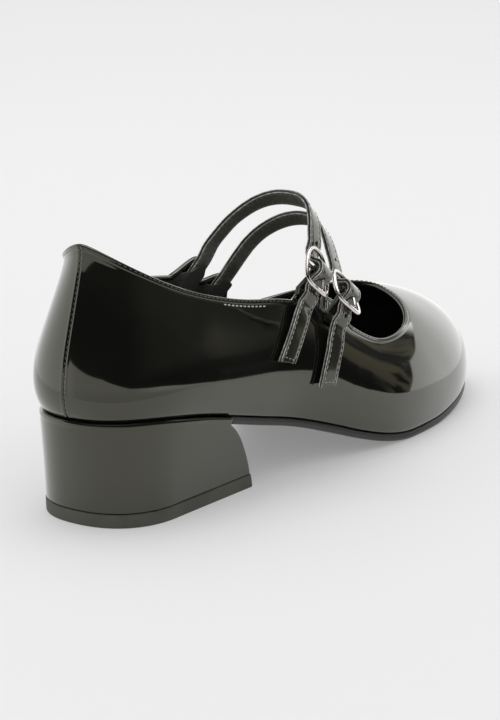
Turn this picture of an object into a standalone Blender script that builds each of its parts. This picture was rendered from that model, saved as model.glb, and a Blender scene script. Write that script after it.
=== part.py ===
"""Right-foot mary jane shoe with two buckled straps and a block heel.

World frame: metres, +Z up, the toe points along +Y and the outer side of the foot is +X.
The shoe stands on the plane z = 0, on its heel top piece and on the flat of its outsole.
The tables and the shape functions below work in millimetres, measured from the back of
the heel (y) and from the heel's centre line (x). The last step, to_world, moves them to
metres and to the origin under the centre of the shoe.
"""

import math
from collections import namedtuple

import bmesh
import bpy
import numpy as np

MM = 0.001
CENTRE_X = 0.8
CENTRE_Y = 119.35

# Driving sizes, in millimetres.
WALL = 1.8
GAP = 0.3
SOLE_THICK = 3.0
SOLE_REAR = 57.45
SOLE_BEVEL = 0.9
INSOLE_THICK = 2.4
INSOLE_INSET = 2.5
INSOLE_EDGE = 0.8
TOP_PIECE_THICK = 5.0
HEEL_BACK = 2.4
HEEL_FRONT = 72.6
HEEL_HALF_WIDTH = 25.5
HEEL_SQUARENESS = 2.3
HEEL_TOP_OUTSET = 1.0
HEEL_ROUND_SHARE = 0.42
HEEL_CORNER = 1.4
HEEL_BACK_FLAT = 0.4
HEEL_FLARE = 1.3
HEEL_EDGE_SCALE = 0.988
STRAP_WIDTH = 7.4
STRAP_THICK = 1.6
STRAP_LEAN = math.radians(31.0)
STRAP_STEP = 2.6
SEAT_TURN = 18.0
SEAT_FLAT = 1.3
TAIL_TURN = 14.0
TAIL_FLAT = 2.2
BAR_RADIUS = 0.7
WIRE_RADIUS = 0.8
FRAME_BOTTOM = 7.15
PRONG_RADIUS = 0.5
PRONG_HOLE_RADIUS = 1.0
PRONG_CURL = BAR_RADIUS + GAP + PRONG_RADIUS + 0.05
LOOP_THICK = 0.9
LOOP_WIDTH = 5.0
LOOP_FOLD = 0.2
LOOP_SLOT = 1.8
LOOP_SLOT_REACH = 2.5
LOOP_LANDING = 4.8
LOOP_END = 8.2

# Where a strap is seated inside its inner tab: levels of the wall's height, how far each is
# moved along the shoe, and the depth of the strap's middle below the wall's outer face.
SEAT_LEVELS = np.array([0.74, 0.86, 0.99])
SEAT_SHIFTS = np.array([-4.0, -2.0, 0.0])
SEAT_DEPTHS = np.array([3.6, 3.3, 3.2])

# How strongly the wall's upper part follows the outward direction of the feather line.
FEATHER_PULL = 22.0

# Height of the upper's lower edge above the floor, as rows of y and z.
BOTTOM = (
    (-6.0, 38.8),
    (18.0, 37.9),
    (39.0, 34.8),
    (56.0, 31.0),
    (74.0, 26.4),
    (92.0, 21.8),
    (110.0, 15.8),
    (126.0, 9.8),
    (140.0, 5.6),
    (152.0, 3.6),
    (160.0, 3.3),
    (174.0, 3.3),
    (192.0, 4.4),
    (208.0, 6.1),
    (224.0, 8.3),
    (248.0, 12.0),
)

# One row for each place round the shoe, from the back seam along the outer side to the toe
# and back along the inner side. The feather is the lower edge of the upper, the collar is
# its topline without the tabs. The handles shape the wall between the two: low_out and
# low_up leave the feather, high_out and high_down arrive at the collar.
Place = namedtuple(
    "Place",
    "name feather_x feather_y collar_x collar_y collar_z low_out low_up high_out high_down",
)
PLACES = (
    Place("back seam", 0.0, 0.4, 0.0, 9.6, 98.9, 7.0, 15.5, 1.6, 24.0),
    Place("outer heel corner", 15.0, 4.8, 8.8, 12.8, 95.8, 8.0, 15.5, 3.2, 23.0),
    Place("outer heel side", 24.0, 17.0, 15.8, 20.0, 90.4, 7.4, 14.0, 5.0, 22.0),
    Place("outer seat", 27.3, 36.0, 20.4, 36.5, 81.6, 7.4, 13.0, 6.5, 20.0),
    Place("outer seat front", 28.0, 54.0, 23.2, 54.5, 74.8, 7.2, 12.5, 6.5, 18.0),
    Place("outer waist rear", 28.6, 72.0, 25.6, 72.5, 70.2, 7.0, 13.0, 6.5, 18.0),
    Place("outer waist", 30.0, 90.0, 27.6, 90.0, 67.0, 6.5, 14.0, 6.5, 18.0),
    Place("outer waist front", 33.0, 108.0, 29.6, 108.0, 60.6, 6.0, 15.0, 7.0, 16.0),
    Place("outer instep", 36.4, 126.0, 31.6, 125.0, 50.6, 5.5, 14.0, 7.0, 13.0),
    Place("outer ball", 39.0, 145.0, 33.0, 142.0, 42.0, 5.0, 13.0, 7.0, 10.0),
    Place("outer throat corner", 38.9, 166.0, 29.6, 162.0, 41.4, 4.5, 13.0, 8.0, 7.0),
    Place("outer vamp", 34.6, 191.0, 19.5, 177.0, 45.6, 4.0, 14.5, 12.0, 5.0),
    Place("outer toe", 23.0, 218.0, 7.0, 183.4, 49.2, 4.5, 16.0, 20.0, 5.0),
    Place("toe tip", -3.5, 239.6, -3.5, 185.2, 50.2, 5.0, 17.0, 28.0, 5.0),
    Place("inner toe", -26.0, 221.6, -13.0, 182.4, 49.6, 4.5, 16.5, 20.0, 5.0),
    Place("inner vamp", -36.0, 197.0, -22.6, 174.0, 47.8, 4.0, 16.0, 12.0, 5.0),
    Place("inner ball", -38.4, 172.0, -28.2, 158.0, 47.0, 4.5, 15.0, 8.0, 8.0),
    Place("inner throat corner", -36.0, 150.0, -29.0, 141.0, 47.8, 4.5, 15.0, 7.0, 11.0),
    Place("inner instep", -29.6, 128.0, -27.4, 124.0, 54.0, 5.5, 15.0, 6.5, 14.0),
    Place("inner waist front", -24.0, 109.0, -25.6, 107.0, 64.0, 6.5, 15.0, 5.5, 16.0),
    Place("inner waist", -22.0, 90.0, -24.2, 89.5, 69.4, 7.5, 14.0, 5.5, 18.0),
    Place("inner waist rear", -23.4, 72.0, -23.0, 72.0, 72.6, 7.5, 13.0, 5.5, 18.0),
    Place("inner seat front", -26.0, 54.0, -21.6, 54.0, 76.2, 7.2, 12.5, 6.0, 18.0),
    Place("inner seat", -27.0, 36.0, -19.4, 36.5, 82.4, 7.2, 13.0, 6.2, 20.0),
    Place("inner heel side", -24.0, 17.0, -15.6, 20.0, 91.0, 8.2, 14.0, 5.0, 22.0),
    Place("inner heel corner", -15.0, 4.8, -8.8, 12.8, 96.0, 8.6, 15.5, 3.2, 23.0),
)

# The four tabs that carry the straps: places along the collar where a tab's rear edge
# starts, reaches its top, leaves its top and ends, its height, and how far its top leans
# towards the toe for each millimetre of height.
Tab = namedtuple("Tab", "name side rear_foot rear_top front_top front_foot height lean")
TABS = (
    Tab("outer rear", 1, 93.5, 102.5, 106.0, 109.0, 7.4, 0.40),
    Tab("outer front", 1, 110.8, 113.0, 119.0, 126.5, 6.0, 0.30),
    Tab("inner rear", -1, 86.0, 98.5, 101.0, 103.5, 7.4, 0.55),
    Tab("inner front", -1, 107.0, 118.0, 121.0, 124.0, 6.4, 0.55),
)

# Each strap's arch in its own leaning plane, as rows of the place across the foot from the
# shoe's centre line, the rise up the plane from the buckle's bar, and the lean of the
# strap's width in degrees. The buckle points up to the aim, turned in its own plane, and its
# frame sits a little to the rear of the strap's middle. The tail lies down the outer
# quarter, as rows of y, height and distance off the wall, and its end is cut on a slant.
STRAPS = {
    "rear": {
        "bar": (32.2, 104.3, 74.4),
        "tab_place": 99.0,
        "arch": (
            (-18.6, 4.4, 11), (-16.2, 9.6, 14), (-13.0, 14.9, 18), (-8.9, 19.4, 25),
            (-4.5, 22.9, 32), (0.4, 25.3, 39), (5.6, 26.6, 46), (11.0, 26.8, 50),
            (15.9, 26.2, 50), (20.1, 23.8, 47), (23.4, 19.3, 39),
        ),
        "aim": (25.4, 14.2),
        "turn": math.radians(9.0),
        "frame_shift": -0.6,
        "above_frame": (-1.9, -15.9, -0.3),
        "below_frame": (0.5, 8.6, -3.0),
        "end_slant": 0.46,
        "tail": (
            (97.2, 63.0, 3.2), (93.7, 60.0, 3.0), (91.0, 56.7, 2.5), (87.4, 52.7, 2.3),
            (81.2, 45.9, 2.2),
        ),
    },
    "front": {
        "bar": (35.2, 118.0, 64.4),
        "tab_place": 115.8,
        "arch": (
            (-18.6, 4.0, 26), (-16.9, 8.4, 26), (-14.8, 13.0, 27), (-11.8, 17.3, 29),
            (-8.0, 20.8, 33), (-3.6, 23.6, 38), (1.1, 25.4, 42), (6.8, 26.2, 46),
            (12.7, 25.2, 46), (17.2, 22.1, 43), (20.7, 18.0, 38),
        ),
        "aim": (23.4, 13.6),
        "turn": math.radians(11.0),
        "frame_shift": -0.8,
        "above_frame": (-2.6, -17.8, 0.0),
        "below_frame": (0.7, 8.4, -3.8),
        "end_slant": 0.25,
        "tail": (
            (111.0, 52.6, 4.3), (108.6, 48.5, 3.3), (107.4, 45.3, 2.7), (105.2, 40.8, 2.3),
            (102.4, 33.0, 2.2),
        ),
    },
}

# The strap's course through its buckle, from above the frame to below it: place across the
# strap, distance down it from the centre bar and height over the frame's plane.
BUCKLE_COURSE = (
    (-0.6, -13.2, -1.0), (-0.2, -11.2, -1.75), (-0.2, -9.3, -2.3), (-0.2, -6.7, -2.1),
    (-0.2, -4.3, -0.1), (0.0, -2.2, 2.7), (0.0, 0.0, 3.4), (0.0, 2.3, 2.8),
    (0.0, 4.1, 0.1), (0.1, 6.1, -2.3),
)

# Half of the buckle frame's outline, from the top of its arch to the middle of its foot:
# distance from its middle line and distance down the strap from the centre bar.
FRAME_OUTLINE = (
    (0.0, -9.6), (2.7, -9.0), (4.9, -7.0), (6.1, -4.1), (6.7, -1.0), (7.0, 1.8),
    (7.05, 4.2), (6.5, 6.0), (5.0, 6.95), (2.8, 7.15), (0.0, FRAME_BOTTOM),
)

# The heel's front face, as rows of the share of its height and y, and the shares at which
# the block has a ring.
HEEL_BREAST = (
    (0.00, 71.3), (0.15, 70.2), (0.30, 68.6), (0.45, 66.7), (0.60, 64.4), (0.70, 62.4),
    (0.75, 61.2), (0.80, 59.8), (0.86, 57.7), (0.875, 57.0), (1.00, 57.0),
)

HEEL_LEVELS = (0.0, 0.02, 0.15, 0.3, 0.45, 0.6, 0.72, 0.8, 0.86, 0.875, 0.97, 1.0)

# The top piece's edge, as rows of height and scale.
TOP_PIECE_EDGE = (
    (0.0, 0.985), (0.6, 1.002), (TOP_PIECE_THICK - 0.3, 0.998), (TOP_PIECE_THICK, 0.99),
)

# Colour, roughness and metalness of each finish.
FINISHES = {
    "patent_leather": ((0.006, 0.006, 0.005), 0.06, 0.0),
    "strap_leather": ((0.008, 0.008, 0.007), 0.10, 0.0),
    "sole_resin": ((0.035, 0.033, 0.030), 0.55, 0.0),
    "top_piece_rubber": ((0.020, 0.020, 0.018), 0.60, 0.0),
    "insole_leather": ((0.012, 0.012, 0.011), 0.50, 0.0),
    "buckle_steel": ((0.78, 0.76, 0.75), 0.16, 1.0),
}


# ---------------------------------------------------------------- curves and surfaces

def monotone_curve(rows, at):
    """Smooth curve through (position, value) rows that never overshoots a row."""
    xs = np.array([row[0] for row in rows], float)
    ys = np.array([row[1] for row in rows], float)
    steps = np.diff(xs)
    slopes = np.diff(ys) / steps
    tangents = np.concatenate([slopes[:1], (slopes[:-1] + slopes[1:]) / 2, slopes[-1:]])
    turning = slopes[:-1] * slopes[1:] <= 0
    tangents[1:-1][turning] = 0.0
    at = np.clip(np.asarray(at, float), xs[0], xs[-1])
    cell = np.clip(np.searchsorted(xs, at, side="right") - 1, 0, len(steps) - 1)
    width = steps[cell]
    t = (at - xs[cell]) / width
    rise = (1 + 2 * t) * (1 - t) ** 2 * ys[cell] + t * t * (3 - 2 * t) * ys[cell + 1]
    bend = t * (1 - t) ** 2 * tangents[cell] - t * t * (1 - t) * tangents[cell + 1]
    return rise + width * bend


def closed_spline(knots, values, period, at):
    """Periodic cubic spline with continuous curvature through values at knots."""
    count = len(knots)
    ends = np.append(knots, period)
    steps = np.diff(ends)
    matrix = np.zeros((count, count))
    right = np.zeros_like(values)
    for i in range(count):
        before = steps[i - 1]
        after = steps[i]
        matrix[i, i - 1] += before
        matrix[i, i] += 2 * (before + after)
        matrix[i, (i + 1) % count] += after
        rise = (values[(i + 1) % count] - values[i]) / after
        fall = (values[i] - values[i - 1]) / before
        right[i] = 6 * (rise - fall)
    bends = np.linalg.solve(matrix, right)
    at = np.mod(np.asarray(at, float), period)
    cell = np.clip(np.searchsorted(ends, at, side="right") - 1, 0, count - 1)
    step = steps[cell][:, None]
    b = ((at - ends[cell]) / steps[cell])[:, None]
    a = 1 - b
    start = values[cell]
    stop = values[(cell + 1) % count]
    curve = (a ** 3 - a) * bends[cell] + (b ** 3 - b) * bends[(cell + 1) % count]
    return a * start + b * stop + curve * step ** 2 / 6


def open_spline(points, spacing):
    """Points about one spacing apart on a smooth curve through the given points."""
    points = np.array(points, float)
    gaps = np.linalg.norm(np.diff(points, axis=0), axis=1)
    knots = np.concatenate([[0.0], np.cumsum(np.sqrt(gaps))])
    tangents = np.gradient(points, knots, axis=0, edge_order=2)
    dense = []
    for i in range(len(points) - 1):
        step = knots[i + 1] - knots[i]
        t = np.linspace(0, 1, 24, endpoint=False)[:, None]
        rise = (1 + 2 * t) * (1 - t) ** 2 * points[i] + t * t * (3 - 2 * t) * points[i + 1]
        bend = t * (1 - t) ** 2 * tangents[i] - t * t * (1 - t) * tangents[i + 1]
        dense.append(rise + step * bend)
    dense = np.vstack(dense + [points[-1:]])
    run = np.concatenate([[0.0], np.cumsum(np.linalg.norm(np.diff(dense, axis=0), axis=1))])
    stops = np.linspace(0, run[-1], int(round(run[-1] / spacing)) + 1)
    return np.column_stack([np.interp(stops, run, dense[:, axis]) for axis in range(3)])


def bottom_height(y):
    return monotone_curve(BOTTOM, y)


PLACE_VALUES = np.array([row[1:] for row in PLACES], float)
FEATHER = slice(0, 2)
COLLAR = slice(2, 5)
LOW_OUT, LOW_UP, HIGH_OUT, HIGH_DOWN = (slice(k, k + 1) for k in range(5, 9))
FEATHER_STEPS = np.linalg.norm(
    np.diff(np.vstack([PLACE_VALUES, PLACE_VALUES[:1]])[:, FEATHER], axis=0), axis=1
)
PLACE_KNOTS = np.concatenate([[0.0], np.cumsum(FEATHER_STEPS)[:-1]])
PERIOD = float(FEATHER_STEPS.sum())
TOE_KNOT = float(PLACE_KNOTS[[row.name for row in PLACES].index("toe tip")])


def unit(vectors):
    return vectors / np.linalg.norm(vectors, axis=-1, keepdims=True)


def places_at(u):
    """The table's columns at the knots u."""
    return closed_spline(PLACE_KNOTS, PLACE_VALUES, PERIOD, u)


def outward(u):
    """Level unit vector that points out of the feather line at u."""
    step = 0.5
    run = places_at(u + step)[:, FEATHER] - places_at(u - step)[:, FEATHER]
    return unit(np.column_stack([run[:, 1], -run[:, 0]]))


def tab_height(u):
    """Height and lean of the strap tabs above the collar at u."""
    y = places_at(u)[:, COLLAR][:, 1]
    side = np.where(np.mod(u, PERIOD) < TOE_KNOT, 1, -1)
    height = np.zeros(len(y))
    lean = np.zeros(len(y))
    for tab in TABS:
        rise = np.clip((y - tab.rear_foot) / (tab.rear_top - tab.rear_foot), 0, 1)
        fall = np.clip((tab.front_foot - y) / (tab.front_foot - tab.front_top), 0, 1)
        share = rise ** 2 * (3 - 2 * rise) * fall ** 2 * (3 - 2 * fall) * (side == tab.side)
        height += tab.height * share
        lean += tab.lean * (share > 0)
    return height, lean


def wall(u, v):
    """Outer surface of the upper: v runs from 0 at the feather to 1 at the topline."""
    u = np.asarray(u, float)
    v = np.asarray(v, float)
    values = places_at(u)
    feather = np.column_stack([values[:, FEATHER], bottom_height(values[:, 1])])
    collar = values[:, COLLAR]
    out = outward(u)
    inward = unit(feather[:, :2] - collar[:, :2] + FEATHER_PULL * out)
    low = feather + np.column_stack([out * values[:, LOW_OUT], values[:, LOW_UP]])
    high = collar + np.column_stack([inward * values[:, HIGH_OUT], -values[:, HIGH_DOWN]])
    height, lean = tab_height(u)
    pull = 3 * np.linalg.norm(collar - high, axis=1)
    t = v * (1 + height / pull)
    inside = np.minimum(t, 1.0)[:, None]
    past = np.maximum(t - 1.0, 0.0)[:, None]
    rest = 1 - inside
    curve = rest ** 3 * feather + 3 * rest ** 2 * inside * low
    curve = curve + 3 * rest * inside ** 2 * high + inside ** 3 * collar
    rise = past * 3 * (collar - high)
    forward = np.zeros_like(rise)
    forward[:, 1] = past[:, 0] * pull * lean
    return curve + rise + forward


def wall_normal(u, v):
    """Unit normal of the upper's outer surface, pointing out of the shoe."""
    u = np.asarray(u, float)
    v = np.asarray(v, float)
    low = np.clip(v - 0.01, 0, 1)
    high = np.clip(v + 0.01, 0, 1)
    along = wall(u + 0.2, v) - wall(u - 0.2, v)
    up = wall(u, high) - wall(u, low)
    return unit(np.cross(along, up))


def knot_at(side, y):
    """Knot u on the outer (side 1) or inner (side -1) collar whose collar y is given."""
    start = 0.0 if side > 0 else PERIOD - 1e-6
    u = np.linspace(start, TOE_KNOT, 700)
    return float(np.interp(y, places_at(u)[:, COLLAR][:, 1], u))


def feather_side(side, inset):
    """Arrays of y and x of one side of the feather line, moved inward by inset."""
    start = 0.0 if side > 0 else PERIOD - 1e-6
    u = np.linspace(start, TOE_KNOT, 500)
    points = places_at(u)[:, FEATHER] - inset * outward(u)
    return points[:, 1], points[:, 0]


def feather_x(side, inset, y):
    ys, xs = feather_side(side, inset)
    return np.interp(y, ys, xs)


# ---------------------------------------------------------------- mesh helpers

def to_world(points):
    return (np.asarray(points, float) - (CENTRE_X, CENTRE_Y, 0.0)) * MM


def finish_material(name):
    found = bpy.data.materials.get(name)
    if found:
        return found
    colour, roughness, metallic = FINISHES[name]
    material = bpy.data.materials.new(name)
    material.use_nodes = True
    shader = material.node_tree.nodes["Principled BSDF"]
    shader.inputs["Base Color"].default_value = (*colour, 1.0)
    shader.inputs["Roughness"].default_value = roughness
    shader.inputs["Metallic"].default_value = metallic
    return material


def add_object(name, points, faces, finish, collection, sharp=35.0):
    """Object from points in shoe millimetres, its faces turned outwards, shaded smooth."""
    mesh = bpy.data.meshes.new(name)
    mesh.from_pydata([tuple(point) for point in to_world(points)], [], faces)
    body = bmesh.new()
    body.from_mesh(mesh)
    bmesh.ops.recalc_face_normals(body, faces=body.faces)
    body.to_mesh(mesh)
    body.free()
    mesh.shade_smooth()
    mesh.set_sharp_from_angle(angle=math.radians(sharp))
    item = bpy.data.objects.new(name, mesh)
    item.data.materials.append(finish_material(finish))
    collection.objects.link(item)
    return item


def apply_modifiers(item):
    """Replaces the object's mesh by its evaluated one and drops its modifiers."""
    bpy.context.view_layer.update()
    graph = bpy.context.evaluated_depsgraph_get()
    mesh = bpy.data.meshes.new_from_object(item.evaluated_get(graph))
    item.modifiers.clear()
    item.data = mesh


def boolean(item, other, operation):
    modifier = item.modifiers.new(operation.title(), "BOOLEAN")
    modifier.operation = operation
    modifier.solver = "EXACT"
    modifier.object = other
    apply_modifiers(item)
    item.data.shade_smooth()
    item.data.set_sharp_from_angle(angle=math.radians(35.0))


def stacked_rings(rings):
    """Points and faces of a closed body from equal rings, ends closed by cross strips.

    Each ring lists its outer-side points from back to front and then its inner-side points
    from front to back, so that opposite points of a strip share one y.
    """
    count = len(rings[0])
    half = count // 2
    points = np.vstack(rings)
    faces = []
    for level in range(len(rings) - 1):
        for i in range(count):
            j = (i + 1) % count
            base = level * count
            faces.append((base + i, base + j, base + count + j, base + count + i))
    for base, flip in ((0, True), ((len(rings) - 1) * count, False)):
        for i in range(half - 1):
            quad = [base + i, base + i + 1, base + count - 2 - i, base + count - 1 - i]
            faces.append(tuple(reversed(quad)) if flip else tuple(quad))
    return points, faces


def swept_strip(name, path, across, slant, finish, collection):
    """Strap with softened edges along path; across gives its width direction."""
    tangents = unit(np.gradient(path, axis=0))
    across = unit(across - tangents * np.sum(across * tangents, axis=1, keepdims=True))
    normals = np.cross(across, tangents)
    soft = STRAP_THICK * 0.28
    half = STRAP_WIDTH / 2
    deep = STRAP_THICK / 2
    profile = [
        (half, -deep + soft), (half, deep - soft), (half - soft, deep), (-half + soft, deep),
        (-half, deep - soft), (-half, -deep + soft), (-half + soft, -deep), (half - soft, -deep),
    ]
    rings = [
        [point + a * side + b * normal for a, b in profile]
        for point, side, normal in zip(path, across, normals)
    ]
    for ring, share in ((rings[-2], 0.4), (rings[-1], 1.0)):
        for k, (a, _) in enumerate(profile):
            ring[k] = ring[k] + share * slant * a * tangents[-1]
    count = len(profile)
    points = np.array(rings).reshape(-1, 3)
    faces = []
    for level in range(len(rings) - 1):
        for i in range(count):
            j = (i + 1) % count
            base = level * count
            faces.append((base + i, base + j, base + count + j, base + count + i))
    last = (len(rings) - 1) * count
    faces.append(tuple(range(count)))
    faces.append(tuple(reversed(range(last, last + count))))
    return add_object(name, points, faces, finish, collection, sharp=50.0)


def thick_sheet(name, grid, thick, finish, collection):
    """Closed sheet of even thickness about a grid of points."""
    along = np.gradient(grid, axis=0)
    sideways = np.gradient(grid, axis=1)
    normals = unit(np.cross(along, sideways))
    rows, columns = grid.shape[:2]
    points = np.vstack([
        (grid + normals * thick / 2).reshape(-1, 3),
        (grid - normals * thick / 2).reshape(-1, 3),
    ])
    other = rows * columns
    faces = []
    for i in range(rows - 1):
        for j in range(columns - 1):
            a = i * columns + j
            quad = (a, a + columns, a + columns + 1, a + 1)
            faces.append(quad)
            faces.append(tuple(other + k for k in reversed(quad)))
    rim = [j for j in range(columns)]
    rim += [i * columns + columns - 1 for i in range(1, rows)]
    rim += [(rows - 1) * columns + j for j in range(columns - 2, -1, -1)]
    rim += [i * columns for i in range(rows - 2, 0, -1)]
    for a, b in zip(rim, rim[1:] + rim[:1]):
        faces.append((a, b, other + b, other + a))
    return add_object(name, points, faces, finish, collection, sharp=50.0)


def hide_cutter(item):
    item.hide_render = True
    item.display_type = "WIRE"


def tube(name, points, radius, closed, resolution, finish, collection):
    """Round wire along points in shoe millimetres, as a welded mesh."""
    curve = bpy.data.curves.new(name + "_curve", "CURVE")
    curve.dimensions = "3D"
    curve.bevel_depth = radius * MM
    curve.bevel_resolution = resolution
    curve.use_fill_caps = True
    spline = curve.splines.new("POLY")
    spline.points.add(len(points) - 1)
    for control, place in zip(spline.points, to_world(points)):
        control.co = (*place, 1.0)
    spline.use_cyclic_u = closed
    source = bpy.data.objects.new(name + "_curve", curve)
    collection.objects.link(source)
    bpy.context.view_layer.update()
    graph = bpy.context.evaluated_depsgraph_get()
    mesh = bpy.data.meshes.new_from_object(source.evaluated_get(graph))
    mesh.name = name
    body = bmesh.new()
    body.from_mesh(mesh)
    bmesh.ops.remove_doubles(body, verts=body.verts, dist=1e-6)
    bmesh.ops.recalc_face_normals(body, faces=body.faces)
    body.to_mesh(mesh)
    body.free()
    mesh.shade_smooth()
    mesh.set_sharp_from_angle(angle=math.radians(50.0))
    item = bpy.data.objects.new(name, mesh)
    item.data.materials.clear()
    item.data.materials.append(finish_material(finish))
    collection.objects.link(item)
    bpy.data.objects.remove(source)
    return item


# ---------------------------------------------------------------- the pieces

def perimeter_knots():
    """Knots round the shoe, closer together at the tabs' edges."""
    knots = list(np.linspace(0, PERIOD, 84, endpoint=False))
    for tab in TABS:
        edges = np.concatenate([
            np.linspace(tab.rear_foot, tab.rear_top, 5),
            np.linspace(tab.front_top, tab.front_foot, 4),
        ])
        ends = sorted([knot_at(tab.side, tab.rear_foot), knot_at(tab.side, tab.front_foot)])
        knots = [u for u in knots if not ends[0] - 1.2 < u < ends[1] + 1.2]
        knots += [knot_at(tab.side, y) for y in edges]
        knots.append(knot_at(tab.side, (tab.rear_top + tab.front_top) / 2))
    return np.array(sorted(knots))


def build_upper(collection):
    """The upper's wall: one open surface round the last, given its thickness inwards."""
    knots = perimeter_knots()
    levels = np.concatenate([[0.0, 0.045], np.linspace(0.11, 1.0, 9)])
    count = len(knots)
    rows = [wall(knots, np.full(count, level)) for level in levels]
    inner = [
        row - WALL * wall_normal(knots, np.full(count, level))
        for row, level in zip(rows, levels)
    ]
    inner[0][:, 2] = rows[0][:, 2] + 0.02
    points = np.vstack(rows + inner[::-1])
    loops = 2 * len(levels)
    faces = []
    for loop in range(loops):
        above = (loop + 1) % loops
        for i in range(count):
            j = (i + 1) % count
            faces.append((loop * count + i, loop * count + j, above * count + j, above * count + i))
    return add_object("upper", points, faces, "patent_leather", collection, sharp=50.0)


def length_rows(back, front, count, round_back, round_front):
    """Places from back to front, closer together at a rounded end."""
    t = np.linspace(0, 1, count)
    if round_back and round_front:
        share = (1 - np.cos(np.pi * t)) / 2
    elif round_back:
        share = 1 - np.cos(np.pi * t / 2)
    else:
        share = np.sin(np.pi * t / 2)
    return back + (front - back) * share


def build_outsole(collection):
    """Sole from the heel's breast to the toe, bevelled below, flat under the ball."""
    ys, _ = feather_side(1, 0.0)
    front = ys.max() - 0.05
    rows = length_rows(SOLE_REAR, front, 34, False, True)
    rings = []
    for inset, drop in ((SOLE_BEVEL, SOLE_THICK), (0.1, SOLE_THICK - SOLE_BEVEL), (0.0, 0.0)):
        outer = feather_x(1, inset, rows)
        inner = feather_x(-1, inset, rows)
        height = np.maximum(bottom_height(rows) - GAP - drop, 0.0)
        lateral = np.column_stack([outer, rows, height])
        medial = np.column_stack([inner, rows, height])
        rings.append(np.vstack([lateral, medial[::-1]]))
    points, faces = stacked_rings(rings)
    return add_object("outsole", points, faces, "sole_resin", collection)


def build_insole(collection):
    """Leather-covered board on the bottom of the shoe, inside the wall."""
    ys, _ = feather_side(1, INSOLE_INSET)
    rows = length_rows(ys.min() + 0.2, ys.max() - 0.2, 36, True, True)
    rings = []
    for shrink, lift in ((0.0, 0.0), (0.0, INSOLE_THICK - INSOLE_EDGE), (1.2, INSOLE_THICK)):
        outer = feather_x(1, INSOLE_INSET, rows) - shrink
        inner = feather_x(-1, INSOLE_INSET, rows) + shrink
        crossed = outer < inner + 0.6
        middle = (outer + inner) / 2
        outer = np.where(crossed, middle + 0.3, outer)
        inner = np.where(crossed, middle - 0.3, inner)
        height = bottom_height(rows) + lift
        lateral = np.column_stack([outer, rows, height])
        medial = np.column_stack([inner, rows, height])
        rings.append(np.vstack([lateral, medial[::-1]]))
    points, faces = stacked_rings(rings)
    return add_object("insole", points, faces, "insole_leather", collection)


def heel_ring(share, base_z, front):
    """Ring round the heel at a share of its height, from the top piece to the seat."""
    quarter = np.sin(np.linspace(0, np.pi / 2, 13))
    rear = HEEL_ROUND_SHARE * (1 - np.sqrt(1 - quarter ** 2))
    side = np.linspace(rear[-1], 1.0, 8)[1:]
    shares = np.concatenate([rear, side])
    low_y = HEEL_BACK + (front - HEEL_BACK) * shares
    reach = np.clip(1 - (low_y - HEEL_BACK) / HEEL_HALF_WIDTH, 0, 1)
    low_x = HEEL_HALF_WIDTH * (1 - reach ** HEEL_SQUARENESS) ** (1 / HEEL_SQUARENESS)
    ys, _ = feather_side(1, -HEEL_TOP_OUTSET)
    top_back = ys.min()
    top_y = top_back + (front - top_back) * shares
    corner = np.where(shares > 0.999, HEEL_CORNER, 0.0)
    ring = []
    for sign in (1, -1):
        top_x = np.abs(feather_x(sign, -HEEL_TOP_OUTSET, top_y))
        top_x[0] = 0.0
        blend = share ** HEEL_FLARE
        x = low_x + (top_x - low_x) * blend - corner
        y = low_y + (top_y - low_y) * blend
        z = base_z + (bottom_height(y) - GAP - base_z) * share
        side_points = np.column_stack([sign * x, y, z])
        side_points[0, 0] = sign * HEEL_BACK_FLAT
        ring.append(side_points)
    return np.vstack([ring[0], ring[1][::-1]])


def resized(ring, scale):
    """The ring scaled level about its own middle."""
    middle = ring[:, :2].mean(axis=0)
    scaled = ring.copy()
    scaled[:, :2] = middle + (ring[:, :2] - middle) * scale
    return scaled


def build_heel(collection):
    """Covered block heel with a curved breast, and its flat rubber top piece."""
    base = TOP_PIECE_THICK + GAP
    rings = []
    for share in HEEL_LEVELS:
        front = monotone_curve(HEEL_BREAST, share)
        ring = heel_ring(share, base, front)
        rings.append(resized(ring, HEEL_EDGE_SCALE) if share in (0.0, 1.0) else ring)
    points, faces = stacked_rings(rings)
    add_object("heel_block", points, faces, "patent_leather", collection)
    level = heel_ring(0.0, 0.0, HEEL_FRONT)
    piece = []
    for z, scale in TOP_PIECE_EDGE:
        ring = resized(level, scale)
        ring[:, 2] = z
        piece.append(ring)
    points, faces = stacked_rings(piece)
    add_object("heel_top_piece", points, faces, "top_piece_rubber", collection)


def buckle_axes(strap):
    """Bar centre and the unit directions across, down the strap and out of the frame."""
    bar = np.array(strap["bar"])
    across = np.array([0.0, math.cos(STRAP_LEAN), -math.sin(STRAP_LEAN)])
    up = np.array([0.0, math.sin(STRAP_LEAN), math.cos(STRAP_LEAN)])
    aim = strap["aim"]
    slope = unit(np.array([bar[0] - aim[0], -aim[1]]))
    down = unit(np.array([slope[0], 0.0, 0.0]) + slope[1] * up)
    out = np.cross(down, across)
    out = unit(out if out[0] > 0 else -out)
    c, s = math.cos(strap["turn"]), math.sin(strap["turn"])
    return bar, c * across + s * down, c * down - s * across, out


def buckle_point(axes, w, t, n):
    bar, across, down, out = axes
    return bar + w * across + t * down + n * out


def wall_sample():
    """Points of the outer quarter's surface with the knots they belong to."""
    grid_u, grid_v = np.meshgrid(np.linspace(0, TOE_KNOT, 160), np.linspace(0, 1, 60))
    return grid_u.ravel(), grid_v.ravel(), wall(grid_u.ravel(), grid_v.ravel())


def height_of_wall(axes, w, t, sample):
    """How far out of the frame's plane the wall lies at w and t; below the plane is negative."""
    out = axes[3]
    u, v, surface = sample
    reach = surface - buckle_point(axes, w, t, 0.0)
    aside = np.linalg.norm(reach - (reach @ out)[:, None] * out, axis=1)
    near = np.argmin(aside)
    normal = wall_normal(u[near:near + 1], v[near:near + 1])[0]
    return float(reach[near] @ normal / (out @ normal))


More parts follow.
